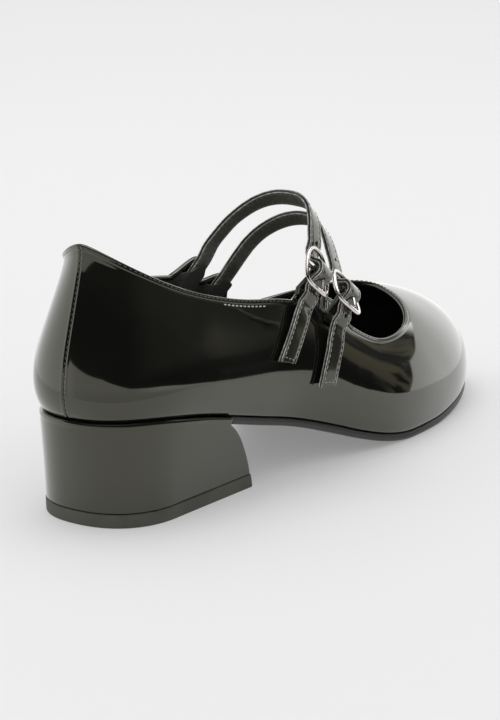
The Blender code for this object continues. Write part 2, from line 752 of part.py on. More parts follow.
def outside_point(y, z, stand, sample):
    """Point standing off the outer quarter at the given y and z, and the wall's normal."""
    u, v, surface = sample
    near = np.argmin((surface[:, 1] - y) ** 2 + (surface[:, 2] - z) ** 2)
    normal = wall_normal(u[near:near + 1], v[near:near + 1])[0]
    slope = normal[1:] @ (np.array([y, z]) - surface[near, 1:])
    x = surface[near, 0] - slope / normal[0]
    return np.array([x, y, z]) + stand * normal, normal


def frame_outline(count):
    """Evenly spaced (w, t) rows of the buckle frame's middle line."""
    half = np.array(FRAME_OUTLINE)
    whole = np.vstack([half, half[-2:0:-1] * (-1, 1)])
    gaps = np.linalg.norm(np.diff(np.vstack([whole, whole[:1]]), axis=0), axis=1)
    knots = np.concatenate([[0.0], np.cumsum(gaps)[:-1]])
    period = float(gaps.sum())
    return closed_spline(knots, whole, period, np.linspace(0, period, count, endpoint=False))


def strap_path(strap, sample, spacing):
    """Centre line of a strap from its tab, over the foot, down to its tail end.

    It also gives the strap's width direction: along the wall at both ends, and in the
    strap's own leaning plane between them.
    """
    up = np.array([0.0, math.sin(STRAP_LEAN), math.cos(STRAP_LEAN)])
    bar = np.array(strap["bar"])
    axes = buckle_axes(strap)
    knots = [knot_at(-1, strap["tab_place"] + shift) for shift in SEAT_SHIFTS]
    seat_normals = wall_normal(knots, SEAT_LEVELS)
    seat = wall(knots, SEAT_LEVELS) - SEAT_DEPTHS[:, None] * seat_normals
    arch = [np.array([x, bar[1], bar[2]]) + q * up for x, q, _ in strap["arch"]]
    rows = (strap["above_frame"], *BUCKLE_COURSE, strap["below_frame"])
    course = [buckle_point(axes, *row) for row in rows]
    tail = []
    for y, z, stand in strap["tail"]:
        point, tail_normal = outside_point(y, z, stand, sample)
        tail.append(point)
    path = open_spline(list(seat) + arch + course + tail, spacing)
    tangents = unit(np.gradient(path, axis=0))
    rows = np.array(strap["arch"])
    lean = np.radians(np.interp(path[:, 0], rows[:, 0], rows[:, 2]))
    plane = np.column_stack([np.zeros(len(path)), np.cos(lean), -np.sin(lean)])
    gaps = np.linalg.norm(np.diff(path, axis=0), axis=1)
    run = np.concatenate([[0.0], np.cumsum(gaps)])
    turn_seat = np.clip(SEAT_FLAT - run / SEAT_TURN, 0, 1)
    turn_tail = np.clip(TAIL_FLAT - (run[-1] - run) / TAIL_TURN, 0, 1)
    turn_seat = (turn_seat ** 2 * (3 - 2 * turn_seat))[:, None]
    turn_tail = (turn_tail ** 2 * (3 - 2 * turn_tail))[:, None]
    flat_seat = np.cross(seat_normals[1], tangents)
    flat_tail = np.cross(tail_normal, tangents)
    flat_seat *= np.sign(np.sum(flat_seat * plane, axis=1, keepdims=True))
    flat_tail *= np.sign(np.sum(flat_tail * plane, axis=1, keepdims=True))
    across = plane * (1 - turn_seat - turn_tail) + flat_seat * turn_seat + flat_tail * turn_tail
    return path, unit(across)


def prong_line(axes):
    """The prong's straight part, from its curl round the bar to its tip on the frame."""
    tip = buckle_point(axes, 0.0, FRAME_BOTTOM + 1.1, WIRE_RADIUS + GAP + PRONG_RADIUS)
    angle = math.radians(60.0)
    leave = buckle_point(axes, 0.0, PRONG_CURL * math.sin(angle), PRONG_CURL * math.cos(angle))
    return [leave, buckle_point(axes, 0.0, 3.2, 1.85), tip]


def build_strap(label, strap, sample, collection, cutters):
    path, across = strap_path(strap, sample, STRAP_STEP)
    slant = -strap["end_slant"]
    item = swept_strip("strap_" + label, path, across, slant, "strap_leather", collection)
    line = np.array(prong_line(buckle_axes(strap)))
    line[2] = line[1] + (line[2] - line[1]) * 0.4
    hole = tube("prong_hole_" + label, line, PRONG_HOLE_RADIUS, False, 2, "buckle_steel", cutters)
    hide_cutter(hole)
    boolean(item, hole, "DIFFERENCE")


def build_buckle(label, strap, collection, cutters):
    """Frame with its centre bar, and the prong that is curled round the bar."""
    axes = buckle_axes(strap)
    shift = strap["frame_shift"]
    ring = np.array([buckle_point(axes, w + shift, t, 0.0) for w, t in frame_outline(30)])
    frame = tube("buckle_frame_" + label, ring, WIRE_RADIUS, True, 2, "buckle_steel", collection)
    reach = float(np.interp(0.0, *np.array(FRAME_OUTLINE).T[::-1]))
    sides = (shift - reach, shift + reach)
    bar_ends = np.array([buckle_point(axes, w, 0.0, 0.0) for w in sides])
    bar = tube("buckle_bar_" + label, bar_ends, BAR_RADIUS, False, 2, "buckle_steel", cutters)
    hide_cutter(bar)
    boolean(frame, bar, "UNION")
    angles = np.radians(np.linspace(-200.0, 36.0, 11))
    curl = [(PRONG_CURL * math.sin(a), PRONG_CURL * math.cos(a)) for a in angles]
    prong = [buckle_point(axes, 0.0, t, n) for t, n in curl]
    prong += prong_line(axes)
    tube("buckle_prong_" + label, np.array(prong), PRONG_RADIUS, False, 1, "buckle_steel", collection)


def build_loop(label, strap, sample, collection, cutters):
    """Leather loop folded round the bar, its two layers laid down on the outer tab."""
    axes = buckle_axes(strap)
    eye = BAR_RADIUS + GAP + LOOP_THICK / 2
    landing = np.array([LOOP_LANDING, height_of_wall(axes, 0.0, LOOP_LANDING, sample) + 2.0])
    lead = unit(landing)
    side = np.array([lead[1], -lead[0]])
    layers = LOOP_THICK / 2 + LOOP_FOLD / 2
    neck = [(0.62, layers), (0.42, layers), (0.30, layers + 0.12), (0.19, layers + 0.45)]
    reach = float(np.linalg.norm(landing))
    inner = [share * reach * lead + offset * side for share, offset in neck]
    fold = [
        eye * (math.cos(a) * lead + math.sin(a) * side)
        for a in np.radians(np.linspace(60.0, 300.0, 11))
    ]
    outer = [share * reach * lead - offset * side for share, offset in neck[::-1]]
    stops = np.linspace(LOOP_END, LOOP_LANDING + 0.4, 4)
    rows = []
    for w in (-LOOP_WIDTH / 2, 0.0, LOOP_WIDTH / 2):
        lift = GAP + LOOP_THICK / 2
        under = [(t, height_of_wall(axes, w, t, sample) + lift) for t in stops]
        over = [(t, n + LOOP_THICK + LOOP_FOLD) for t, n in under[::-1]]
        line = under + [tuple(p) for p in inner + fold + outer] + over
        rows.append([buckle_point(axes, w, t, n) for t, n in line])
    grid = np.array(rows).transpose(1, 0, 2)
    item = thick_sheet("loop_" + label, grid, LOOP_THICK, "strap_leather", collection)
    ends = np.array([buckle_point(axes, w, 0.0, 0.0) for w in (-LOOP_SLOT / 2, LOOP_SLOT / 2)])
    slot = tube("loop_slot_" + label, ends, LOOP_SLOT_REACH, False, 4, "buckle_steel", cutters)
    hide_cutter(slot)
    boolean(item, slot, "DIFFERENCE")


def build_shoe():
    for item in list(bpy.data.objects):
        bpy.data.objects.remove(item)
    parts = bpy.data.collections.new("mary_jane_shoe")
    cutters = bpy.data.collections.new("cutters")
    cutters.hide_render = True
    bpy.context.scene.collection.children.link(parts)
    bpy.context.scene.collection.children.link(cutters)
    build_upper(parts)
    build_outsole(parts)
    build_insole(parts)
    build_heel(parts)
    sample = wall_sample()
    for label, strap in STRAPS.items():
        build_strap(label, strap, sample, parts, cutters)
        build_buckle(label, strap, parts, cutters)
        build_loop(label, strap, sample, parts, cutters)


build_shoe()
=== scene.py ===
import math
from collections import namedtuple

import bmesh
import bpy
import numpy as np
from mathutils import Matrix, Vector
from mathutils.kdtree import KDTree


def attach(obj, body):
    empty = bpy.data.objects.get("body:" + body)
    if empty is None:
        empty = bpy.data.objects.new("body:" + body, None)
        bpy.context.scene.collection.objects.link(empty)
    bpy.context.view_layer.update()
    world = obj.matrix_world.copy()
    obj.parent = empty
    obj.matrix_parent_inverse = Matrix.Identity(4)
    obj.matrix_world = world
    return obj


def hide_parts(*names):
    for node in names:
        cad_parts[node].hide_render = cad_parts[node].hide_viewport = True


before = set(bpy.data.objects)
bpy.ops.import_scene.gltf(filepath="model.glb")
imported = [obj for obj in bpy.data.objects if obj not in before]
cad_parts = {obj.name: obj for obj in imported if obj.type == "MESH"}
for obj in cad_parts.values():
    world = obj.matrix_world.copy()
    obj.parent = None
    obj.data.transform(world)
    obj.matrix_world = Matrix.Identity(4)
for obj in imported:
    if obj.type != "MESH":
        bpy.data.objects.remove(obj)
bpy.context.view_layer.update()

bl_info = {
    "name": "Patent mary jane shoe",
    "version": (1, 0, 0),
    "blender": (4, 5, 0),
    "location": "3D View > Sidebar > Shoe",
    "description": "Dresses the solids of a two-strap patent mary jane shoe",
    "category": "Add Mesh",
}

# The tables and shape functions work in millimetres, measured from the back of the heel
# (y) and from the heel's centre line (x), as the solids' own source does. to_world moves
# a point to metres and to the frame's origin.
MM = 0.001
CENTRE_X = 0.8
CENTRE_Y = 119.35
WALL = 1.8
GAP = 0.3
SOLE_THICK = 3.0
SOLE_REAR = 57.45
SOLE_BEVEL = 0.9
INSOLE_THICK = 2.4
INSOLE_INSET = 2.5
TOP_PIECE_THICK = 5.0
HEEL_BACK = 2.4
HEEL_FRONT = 72.6
HEEL_HALF_WIDTH = 25.5
HEEL_SQUARENESS = 2.3
HEEL_TOP_OUTSET = 1.0
HEEL_ROUND_SHARE = 0.42
HEEL_FLARE = 1.3
STRAP_WIDTH = 7.4
STRAP_THICK = 1.6
STRAP_LEAN = math.radians(31.0)
SEAT_TURN = 18.0
SEAT_FLAT = 1.3
TAIL_TURN = 14.0
TAIL_FLAT = 2.2
BAR_RADIUS = 0.7
WIRE_RADIUS = 0.8
FRAME_BOTTOM = 7.15
PRONG_RADIUS = 0.5
PRONG_CURL = BAR_RADIUS + GAP + PRONG_RADIUS + 0.05
FEATHER_PULL = 22.0

# Where a strap is seated inside its inner tab: levels of the wall's height, how far each is
# moved along the shoe, and the depth of the strap's middle below the wall's outer face.
SEAT_LEVELS = np.array([0.74, 0.86, 0.99])
SEAT_SHIFTS = np.array([-4.0, -2.0, 0.0])
SEAT_DEPTHS = np.array([3.6, 3.3, 3.2])

# Height of the upper's lower edge above the floor, as rows of y and z.
BOTTOM = (
    (-6.0, 38.8),
    (18.0, 37.9),
    (39.0, 34.8),
    (56.0, 31.0),
    (74.0, 26.4),
    (92.0, 21.8),
    (110.0, 15.8),
    (126.0, 9.8),
    (140.0, 5.6),
    (152.0, 3.6),
    (160.0, 3.3),
    (174.0, 3.3),
    (192.0, 4.4),
    (208.0, 6.1),
    (224.0, 8.3),
    (248.0, 12.0),
)

# One row for each place round the shoe, from the back seam along the outer side to the toe
# and back along the inner side: x and y on the feather, which is the lower edge of the
# upper, and x, y and z on the collar, which is its topline without the tabs. The last four
# shape the wall between the two: out and up as it leaves the feather, out and down as it
# arrives at the collar.
PLACES = (
    ("back seam", 0.0, 0.4, 0.0, 9.6, 98.9, 7.0, 15.5, 1.6, 24.0),
    ("outer heel corner", 15.0, 4.8, 8.8, 12.8, 95.8, 8.0, 15.5, 3.2, 23.0),
    ("outer heel side", 24.0, 17.0, 15.8, 20.0, 90.4, 7.4, 14.0, 5.0, 22.0),
    ("outer seat", 27.3, 36.0, 20.4, 36.5, 81.6, 7.4, 13.0, 6.5, 20.0),
    ("outer seat front", 28.0, 54.0, 23.2, 54.5, 74.8, 7.2, 12.5, 6.5, 18.0),
    ("outer waist rear", 28.6, 72.0, 25.6, 72.5, 70.2, 7.0, 13.0, 6.5, 18.0),
    ("outer waist", 30.0, 90.0, 27.6, 90.0, 67.0, 6.5, 14.0, 6.5, 18.0),
    ("outer waist front", 33.0, 108.0, 29.6, 108.0, 60.6, 6.0, 15.0, 7.0, 16.0),
    ("outer instep", 36.4, 126.0, 31.6, 125.0, 50.6, 5.5, 14.0, 7.0, 13.0),
    ("outer ball", 39.0, 145.0, 33.0, 142.0, 42.0, 5.0, 13.0, 7.0, 10.0),
    ("outer throat corner", 38.9, 166.0, 29.6, 162.0, 41.4, 4.5, 13.0, 8.0, 7.0),
    ("outer vamp", 34.6, 191.0, 19.5, 177.0, 45.6, 4.0, 14.5, 12.0, 5.0),
    ("outer toe", 23.0, 218.0, 7.0, 183.4, 49.2, 4.5, 16.0, 20.0, 5.0),
    ("toe tip", -3.5, 239.6, -3.5, 185.2, 50.2, 5.0, 17.0, 28.0, 5.0),
    ("inner toe", -26.0, 221.6, -13.0, 182.4, 49.6, 4.5, 16.5, 20.0, 5.0),
    ("inner vamp", -36.0, 197.0, -22.6, 174.0, 47.8, 4.0, 16.0, 12.0, 5.0),
    ("inner ball", -38.4, 172.0, -28.2, 158.0, 47.0, 4.5, 15.0, 8.0, 8.0),
    ("inner throat corner", -36.0, 150.0, -29.0, 141.0, 47.8, 4.5, 15.0, 7.0, 11.0),
    ("inner instep", -29.6, 128.0, -27.4, 124.0, 54.0, 5.5, 15.0, 6.5, 14.0),
    ("inner waist front", -24.0, 109.0, -25.6, 107.0, 64.0, 6.5, 15.0, 5.5, 16.0),
    ("inner waist", -22.0, 90.0, -24.2, 89.5, 69.4, 7.5, 14.0, 5.5, 18.0),
    ("inner waist rear", -23.4, 72.0, -23.0, 72.0, 72.6, 7.5, 13.0, 5.5, 18.0),
    ("inner seat front", -26.0, 54.0, -21.6, 54.0, 76.2, 7.2, 12.5, 6.0, 18.0),
    ("inner seat", -27.0, 36.0, -19.4, 36.5, 82.4, 7.2, 13.0, 6.2, 20.0),
    ("inner heel side", -24.0, 17.0, -15.6, 20.0, 91.0, 8.2, 14.0, 5.0, 22.0),
    ("inner heel corner", -15.0, 4.8, -8.8, 12.8, 96.0, 8.6, 15.5, 3.2, 23.0),
)

# The four tabs that carry the straps: places along the collar where a tab's rear edge
# starts, reaches its top, leaves its top and ends, its height, and how far its top leans
# towards the toe for each millimetre of height.
Tab = namedtuple("Tab", "name side rear_foot rear_top front_top front_foot height lean")
TABS = (
    Tab("outer rear", 1, 93.5, 102.5, 106.0, 109.0, 7.4, 0.40),
    Tab("outer front", 1, 110.8, 113.0, 119.0, 126.5, 6.0, 0.30),
    Tab("inner rear", -1, 86.0, 98.5, 99.2, 105.5, 7.4, 0.55),
    Tab("inner front", -1, 106.0, 118.0, 118.2, 126.5, 6.4, 0.55),
)

# Each strap's arch in its own leaning plane, as rows of the place across the foot from the
# shoe's centre line, the rise up the plane from the buckle's bar, and the lean of the
# strap's width in degrees. The buckle points up to the aim, turned in its own plane, and its
# frame sits a little to the rear of the strap's middle. The tail lies down the outer
# quarter, as rows of y, height and distance off the wall, and its end is cut on a slant.
STRAPS = {
    "rear": {
        "bar": (32.2, 104.3, 74.4),
        "tab_place": 99.0,
        "arch": (
            (-18.6, 4.4, 11), (-16.2, 9.6, 14), (-13.0, 14.9, 18), (-8.9, 19.4, 25),
            (-4.5, 22.9, 32), (0.4, 25.3, 39), (5.6, 26.6, 46), (11.0, 26.8, 50),
            (15.9, 26.2, 50), (20.1, 23.8, 47), (23.4, 19.3, 39),
        ),
        "aim": (25.4, 14.2),
        "turn": math.radians(9.0),
        "frame_shift": -0.6,
        "above_frame": (-1.9, -15.9, -0.3),
        "below_frame": (0.5, 8.6, -3.0),
        "end_slant": 0.46,
        "tail": (
            (97.2, 63.0, 3.2), (93.7, 60.0, 3.0), (91.0, 56.7, 2.5), (87.4, 52.7, 2.3),
            (81.2, 45.9, 2.2),
        ),
    },
    "front": {
        "bar": (35.2, 118.0, 64.4),
        "tab_place": 115.8,
        "arch": (
            (-18.6, 4.0, 26), (-16.9, 8.4, 26), (-14.8, 13.0, 27), (-11.8, 17.3, 29),
            (-8.0, 20.8, 33), (-3.6, 23.6, 38), (1.1, 25.4, 42), (6.8, 26.2, 46),
            (12.7, 25.2, 46), (17.2, 22.1, 43), (20.7, 18.0, 38),
        ),
        "aim": (23.4, 13.6),
        "turn": math.radians(11.0),
        "frame_shift": -0.8,
        "above_frame": (-2.6, -17.8, 0.0),
        "below_frame": (0.7, 8.4, -3.8),
        "end_slant": 0.25,
        "tail": (
            (111.0, 52.6, 4.3), (108.6, 48.5, 3.3), (107.4, 45.3, 2.7), (105.2, 40.8, 2.3),
            (102.4, 33.0, 2.2),
        ),
    },
}

# The strap's course through its buckle, from above the frame to below it: place across the
# strap, distance down it from the centre bar and height over the frame's plane.
BUCKLE_COURSE = (
    (-0.6, -13.2, -1.0), (-0.2, -11.2, -1.75), (-0.2, -9.3, -2.3), (-0.2, -6.7, -2.1),
    (-0.2, -4.3, -0.1), (0.0, -2.2, 2.7), (0.0, 0.0, 3.4), (0.0, 2.3, 2.8),
    (0.0, 4.1, 0.1), (0.1, 6.1, -2.3),
)

# Half of the buckle frame's outline, from the top of its arch to the middle of its foot:
# distance from its middle line and distance down the strap from the centre bar.
FRAME_OUTLINE = (
    (0.0, -9.6), (2.7, -9.0), (4.9, -7.0), (6.1, -4.1), (6.7, -1.0), (7.0, 1.8),
    (7.05, 4.2), (6.5, 6.0), (5.0, 6.95), (2.8, 7.15), (0.0, FRAME_BOTTOM),
)

# The heel's front face, as rows of the share of its height and y, and the shares at which
# the block has a ring.
HEEL_BREAST = (
    (0.00, 71.3), (0.15, 70.2), (0.30, 68.6), (0.45, 66.7), (0.60, 64.4), (0.70, 62.4),
    (0.75, 61.2), (0.80, 59.8), (0.86, 57.7), (0.875, 57.0), (1.00, 57.0),
)


def unit(vectors):
    return vectors / np.linalg.norm(vectors, axis=-1, keepdims=True)


def smooth(t):
    """Rise from 0 to 1 with level ends, for t from 0 to 1."""
    return t * t * (3 - 2 * t)


def run_lengths(path):
    """Distance along a path from its start to each of its points."""
    gaps = np.linalg.norm(np.diff(path, axis=0), axis=1)
    return np.concatenate([[0.0], np.cumsum(gaps)])


def rows_at(stops, knots, rows):
    """Rows of three values read off between the knots."""
    return np.column_stack([np.interp(stops, knots, rows[:, axis]) for axis in range(3)])


def hermite(t, step, start, stop, leaving, arriving):
    """Cubic from start to stop, leaving and arriving at the given slopes."""
    rise = (1 + 2 * t) * (1 - t) ** 2 * start + smooth(t) * stop
    bend = t * (1 - t) ** 2 * leaving - t * t * (1 - t) * arriving
    return rise + step * bend


def monotone_curve(rows, at):
    """Smooth curve through (position, value) rows that never overshoots a row."""
    xs, ys = np.array(rows, float).T
    steps = np.diff(xs)
    slopes = np.diff(ys) / steps
    tangents = np.concatenate([slopes[:1], (slopes[:-1] + slopes[1:]) / 2, slopes[-1:]])
    tangents[1:-1][slopes[:-1] * slopes[1:] <= 0] = 0.0
    at = np.clip(np.asarray(at, float), xs[0], xs[-1])
    cell = np.clip(np.searchsorted(xs, at, side="right") - 1, 0, len(steps) - 1)
    width = steps[cell]
    t = (at - xs[cell]) / width
    return hermite(t, width, ys[cell], ys[cell + 1], tangents[cell], tangents[cell + 1])


def closed_spline(knots, values, period, at):
    """Periodic cubic spline with continuous curvature through values at knots."""
    ends = np.append(knots, period)
    steps = np.diff(ends)
    before = np.roll(steps, 1)
    slopes = (np.roll(values, -1, axis=0) - values) / steps[:, None]
    one = np.eye(len(knots))
    matrix = 2 * (before + steps) * one + np.roll(one, 1, axis=1) * steps[:, None]
    matrix += np.roll(one, -1, axis=1) * before[:, None]
    bends = np.linalg.solve(matrix, 6 * (slopes - np.roll(slopes, 1, axis=0)))
    at = np.mod(np.asarray(at, float), period)
    cell = np.clip(np.searchsorted(ends, at, side="right") - 1, 0, len(knots) - 1)
    after = (cell + 1) % len(knots)
    b = ((at - ends[cell]) / steps[cell])[:, None]
    a = 1 - b
    curve = (a ** 3 - a) * bends[cell] + (b ** 3 - b) * bends[after]
    return a * values[cell] + b * values[after] + curve * steps[cell][:, None] ** 2 / 6


def open_spline(points, spacing):
    """Points about one spacing apart on a smooth curve through the given points."""
    points = np.array(points, float)
    gaps = np.linalg.norm(np.diff(points, axis=0), axis=1)
    knots = np.concatenate([[0.0], np.cumsum(np.sqrt(gaps))])
    slopes = np.gradient(points, knots, axis=0, edge_order=2)
    t = np.linspace(0, 1, 24, endpoint=False)[:, None]
    dense = [
        hermite(t, knots[i + 1] - knots[i], points[i], points[i + 1], slopes[i], slopes[i + 1])
        for i in range(len(points) - 1)
    ]
    dense = np.vstack(dense + [points[-1:]])
    run = run_lengths(dense)
    stops = np.linspace(0, run[-1], int(round(run[-1] / spacing)) + 1)
    return rows_at(stops, run, dense)


def bottom_height(y):
    return monotone_curve(BOTTOM, y)


PLACE_VALUES = np.array([row[1:] for row in PLACES], float)
FEATHER = slice(0, 2)
COLLAR = slice(2, 5)
LOW_OUT, LOW_UP, HIGH_OUT, HIGH_DOWN = (slice(k, k + 1) for k in range(5, 9))
FEATHER_STEPS = np.linalg.norm(
    np.diff(np.vstack([PLACE_VALUES, PLACE_VALUES[:1]])[:, FEATHER], axis=0), axis=1
)
PLACE_KNOTS = np.concatenate([[0.0], np.cumsum(FEATHER_STEPS)[:-1]])
PERIOD = float(FEATHER_STEPS.sum())
TOE_KNOT = float(PLACE_KNOTS[[row[0] for row in PLACES].index("toe tip")])


def places_at(u):
    """The table's columns at the knots u."""
    return closed_spline(PLACE_KNOTS, PLACE_VALUES, PERIOD, u)


def outward(u):
    """Level unit vector that points out of the feather line at u."""
    step = 0.5
    run = places_at(u + step)[:, FEATHER] - places_at(u - step)[:, FEATHER]
    return unit(np.column_stack([run[:, 1], -run[:, 0]]))


def tab_height(u):
    """Height and lean of the strap tabs above the collar at u."""
    y = places_at(u)[:, COLLAR][:, 1]
    side = np.where(np.mod(u, PERIOD) < TOE_KNOT, 1, -1)
    height, lean = np.zeros((2, len(y)))
    for tab in TABS:
        rise = np.clip((y - tab.rear_foot) / (tab.rear_top - tab.rear_foot), 0, 1)
        fall = np.clip((tab.front_foot - y) / (tab.front_foot - tab.front_top), 0, 1)
        share = smooth(rise) * smooth(fall) * (side == tab.side)
        height += tab.height * share
        lean += tab.lean * (share > 0)
    return height, lean


def wall(u, v):
    """Outer surface of the upper: v runs from 0 at the feather to 1 at the topline."""
    u = np.asarray(u, float)
    v = np.asarray(v, float)
    values = places_at(u)
    feather = np.column_stack([values[:, FEATHER], bottom_height(values[:, 1])])
    collar = values[:, COLLAR]
    out = outward(u)
    inward = unit(feather[:, :2] - collar[:, :2] + FEATHER_PULL * out)
    low = feather + np.column_stack([out * values[:, LOW_OUT], values[:, LOW_UP]])
    high = collar + np.column_stack([inward * values[:, HIGH_OUT], -values[:, HIGH_DOWN]])
    height, lean = tab_height(u)
    pull = 3 * np.linalg.norm(collar - high, axis=1)
    t = v * (1 + height / pull)
    inside = np.minimum(t, 1.0)[:, None]
    past = np.maximum(t - 1.0, 0.0)[:, None]
    rest = 1 - inside
    curve = rest ** 3 * feather + 3 * rest ** 2 * inside * low
    curve = curve + 3 * rest * inside ** 2 * high + inside ** 3 * collar
    rise = past * 3 * (collar - high)
    forward = np.zeros_like(rise)
    forward[:, 1] = past[:, 0] * pull * lean
    return curve + rise + forward


def wall_normal(u, v):
    """Unit normal of the upper's outer surface, pointing out of the shoe."""
    u = np.asarray(u, float)
    v = np.asarray(v, float)
    onward = wall(u + 0.2, v) - wall(u - 0.2, v)
    up = wall(u, np.clip(v + 0.01, 0, 1)) - wall(u, np.clip(v - 0.01, 0, 1))
    return unit(np.cross(onward, up))


def side_knots(side, count):
    """Knots along the outer (side 1) or inner (side -1) side, from the back seam to the toe."""
    return np.linspace(0.0 if side > 0 else PERIOD - 1e-6, TOE_KNOT, count)


def knot_at(side, y):
    """Knot on one side of the collar whose collar y is given."""
    u = side_knots(side, 700)
    return float(np.interp(y, places_at(u)[:, COLLAR][:, 1], u))


def feather_side(side, inset):
    """Arrays of y and x of one side of the feather line, moved inward by inset."""
    u = side_knots(side, 500)
    points = places_at(u)[:, FEATHER] - inset * outward(u)
    return points[:, 1], points[:, 0]


def feather_x(side, inset, y):
    ys, xs = feather_side(side, inset)
    return np.interp(y, ys, xs)


def to_world(points):
    return (np.asarray(points, float) - (CENTRE_X, CENTRE_Y, 0.0)) * MM


def buckle_axes(strap):
    """Bar centre and the unit directions across, down the strap and out of the frame."""
    bar = np.array(strap["bar"])
    across = np.array([0.0, math.cos(STRAP_LEAN), -math.sin(STRAP_LEAN)])
    up = np.array([0.0, math.sin(STRAP_LEAN), math.cos(STRAP_LEAN)])
    aim = strap["aim"]
    slope = unit(np.array([bar[0] - aim[0], -aim[1]]))
    down = unit(np.array([slope[0], 0.0, 0.0]) + slope[1] * up)
    out = np.cross(down, across)
    out = unit(out if out[0] > 0 else -out)
    c, s = math.cos(strap["turn"]), math.sin(strap["turn"])
    return bar, c * across + s * down, c * down - s * across, out


def buckle_point(axes, w, t, n):
    bar, across, down, out = axes
    return bar + w * across + t * down + n * out


def wall_sample():
    """Points of the outer quarter's surface with the knots they belong to."""
    grid_u, grid_v = np.meshgrid(np.linspace(0, TOE_KNOT, 160), np.linspace(0, 1, 60))
    return grid_u.ravel(), grid_v.ravel(), wall(grid_u.ravel(), grid_v.ravel())


def outside_point(y, z, stand, sample):
    """Point standing off the outer quarter at the given y and z, and the wall's normal."""
    u, v, surface = sample
    near = np.argmin((surface[:, 1] - y) ** 2 + (surface[:, 2] - z) ** 2)
    normal = wall_normal(u[near:near + 1], v[near:near + 1])[0]
    slope = normal[1:] @ (np.array([y, z]) - surface[near, 1:])
    x = surface[near, 0] - slope / normal[0]
    return np.array([x, y, z]) + stand * normal, normal


def frame_outline(count):
    """Evenly spaced (w, t) rows of the buckle frame's middle line."""
    half = np.array(FRAME_OUTLINE)
    whole = np.vstack([half, half[-2:0:-1] * (-1, 1)])
    run = run_lengths(np.vstack([whole, whole[:1]]))
    stops = np.linspace(0, run[-1], count, endpoint=False)
    return closed_spline(run[:-1], whole, run[-1], stops)


def strap_path(strap, sample, spacing):
    """Centre line of a strap from its tab, over the foot, down to its tail end.

    It also gives the strap's width direction: along the wall at both ends, and in the
    strap's own leaning plane between them.
    """
    up = np.array([0.0, math.sin(STRAP_LEAN), math.cos(STRAP_LEAN)])
    bar = np.array(strap["bar"])
    axes = buckle_axes(strap)
    knots = [knot_at(-1, strap["tab_place"] + shift) for shift in SEAT_SHIFTS]
    seat_normals = wall_normal(knots, SEAT_LEVELS)
    seat = wall(knots, SEAT_LEVELS) - SEAT_DEPTHS[:, None] * seat_normals
    arch = [np.array([x, bar[1], bar[2]]) + q * up for x, q, _ in strap["arch"]]
    rows = (strap["above_frame"], *BUCKLE_COURSE, strap["below_frame"])
    course = [buckle_point(axes, *row) for row in rows]
    tail = []
    for y, z, stand in strap["tail"]:
        point, tail_normal = outside_point(y, z, stand, sample)
        tail.append(point)
    path = open_spline(list(seat) + arch + course + tail, spacing)
    tangents = unit(np.gradient(path, axis=0))
    rows = np.array(strap["arch"])
    lean = np.radians(np.interp(path[:, 0], rows[:, 0], rows[:, 2]))
    plane = np.column_stack([np.zeros(len(path)), np.cos(lean), -np.sin(lean)])
    run = run_lengths(path)
    seat_share = smooth(np.clip(SEAT_FLAT - run / SEAT_TURN, 0, 1))[:, None]
    tail_share = smooth(np.clip(TAIL_FLAT - (run[-1] - run) / TAIL_TURN, 0, 1))[:, None]
    across = plane * (1 - seat_share - tail_share)
    for normal, share in ((seat_normals[1], seat_share), (tail_normal, tail_share)):
        flat = np.cross(normal, tangents)
        across += flat * np.sign(np.sum(flat * plane, axis=1, keepdims=True)) * share
    return path, unit(across)


# ---------------------------------------------------------------- sizes of the dressing

ROOT = "root"

# The upper's patent skin, the folded band round its topline, and the rows of the leather
# as drops below the topline. The band falls off within its edge, to nothing a little past
# its width. The fold lies on the lining, the rim is the rounded edge.
UPPER_SKIN = 1.1
BAND_WIDTH = 1.85
BAND_PROUD = 0.22
BAND_EDGE = 0.34
BAND_PAST = 0.22
FOLD_PROUD = 0.12
FOLD_DROPS = (1.1, 1.6, 2.0, 2.2, 2.26)
RIM_DROP = 0.7
BAND_DROPS = (RIM_DROP, 0.95, 1.25, 1.6, 1.75, 1.88, 2.0, 2.12, 2.28, 2.45, 2.7, 3.0)
QUARTER_DROPS = np.linspace(3.4, 10.2, 18)
RIM_STEPS = 9

# The fine trough under the band's lower edge, and the bed that its stitches lie in: depth,
# place below the band and half width.
TROUGH_DEPTH = 0.07
TROUGH_DROP = 0.3
TROUGH_HALF = 0.22
STITCH_BED = 0.06
STITCH_BED_HALF = 0.3

# Rows of the leather below those drops, a little wider apart towards the top, the second
# one close above the feather. The rim's distance from a point matters only near the rim.
QUARTER_ROWS = 34
QUARTER_SPREAD = 0.94
FEATHER_ROW = 0.012
RIM_SAMPLES = 3600
RIM_NEAR = 12.0
RIM_FAR = 20.0

# The hidden back of the patent skin: its highest row's drop below the topline, and its rows.
SKIN_BACK_DROP = 3.0
SKIN_BACK_ROWS = 13

# Steps between the leather's columns: everywhere, at the tabs, and within a reach of the
# back seam.
COLUMN_STEP = 1.0
TAB_STEP = 0.28
SEAM_FINE = (2.2, 0.16)

# The back seam: a groove between two soft lips, as far forward as its reach. The lower
# edge is tucked in a little, and the counter leans in from a height on, more towards the
# back and clear of the rim.
SEAM_HALF = 0.28
SEAM_DEPTH = 0.34
SEAM_LIP = 0.09
SEAM_REACH = 30.0
FEATHER_TUCK = 0.3
COUNTER_LEAN = 0.42
COUNTER_LOW = 76.0
COUNTER_FRONT = 24.0

# Stitches of the upper: lengths as shares of the pitch, the back seam's own pitch as a
# share of it, and the levels of the wall that the seam's row runs between. The thread is
# the straps' thread made darker as painted shade, and points of the topline's path keep a
# gap between them.
STITCH_INSET = 1.0
STITCH_RADIUS = 0.17
TOPLINE_THREAD_PAINTED_SHADE = 0.22
TOPLINE_STITCH = 0.68
SEAM_STITCH = 0.6
SEAM_PITCH = 0.9
SEAM_ROW = (0.985, 0.01)
PATH_GAP = 0.18
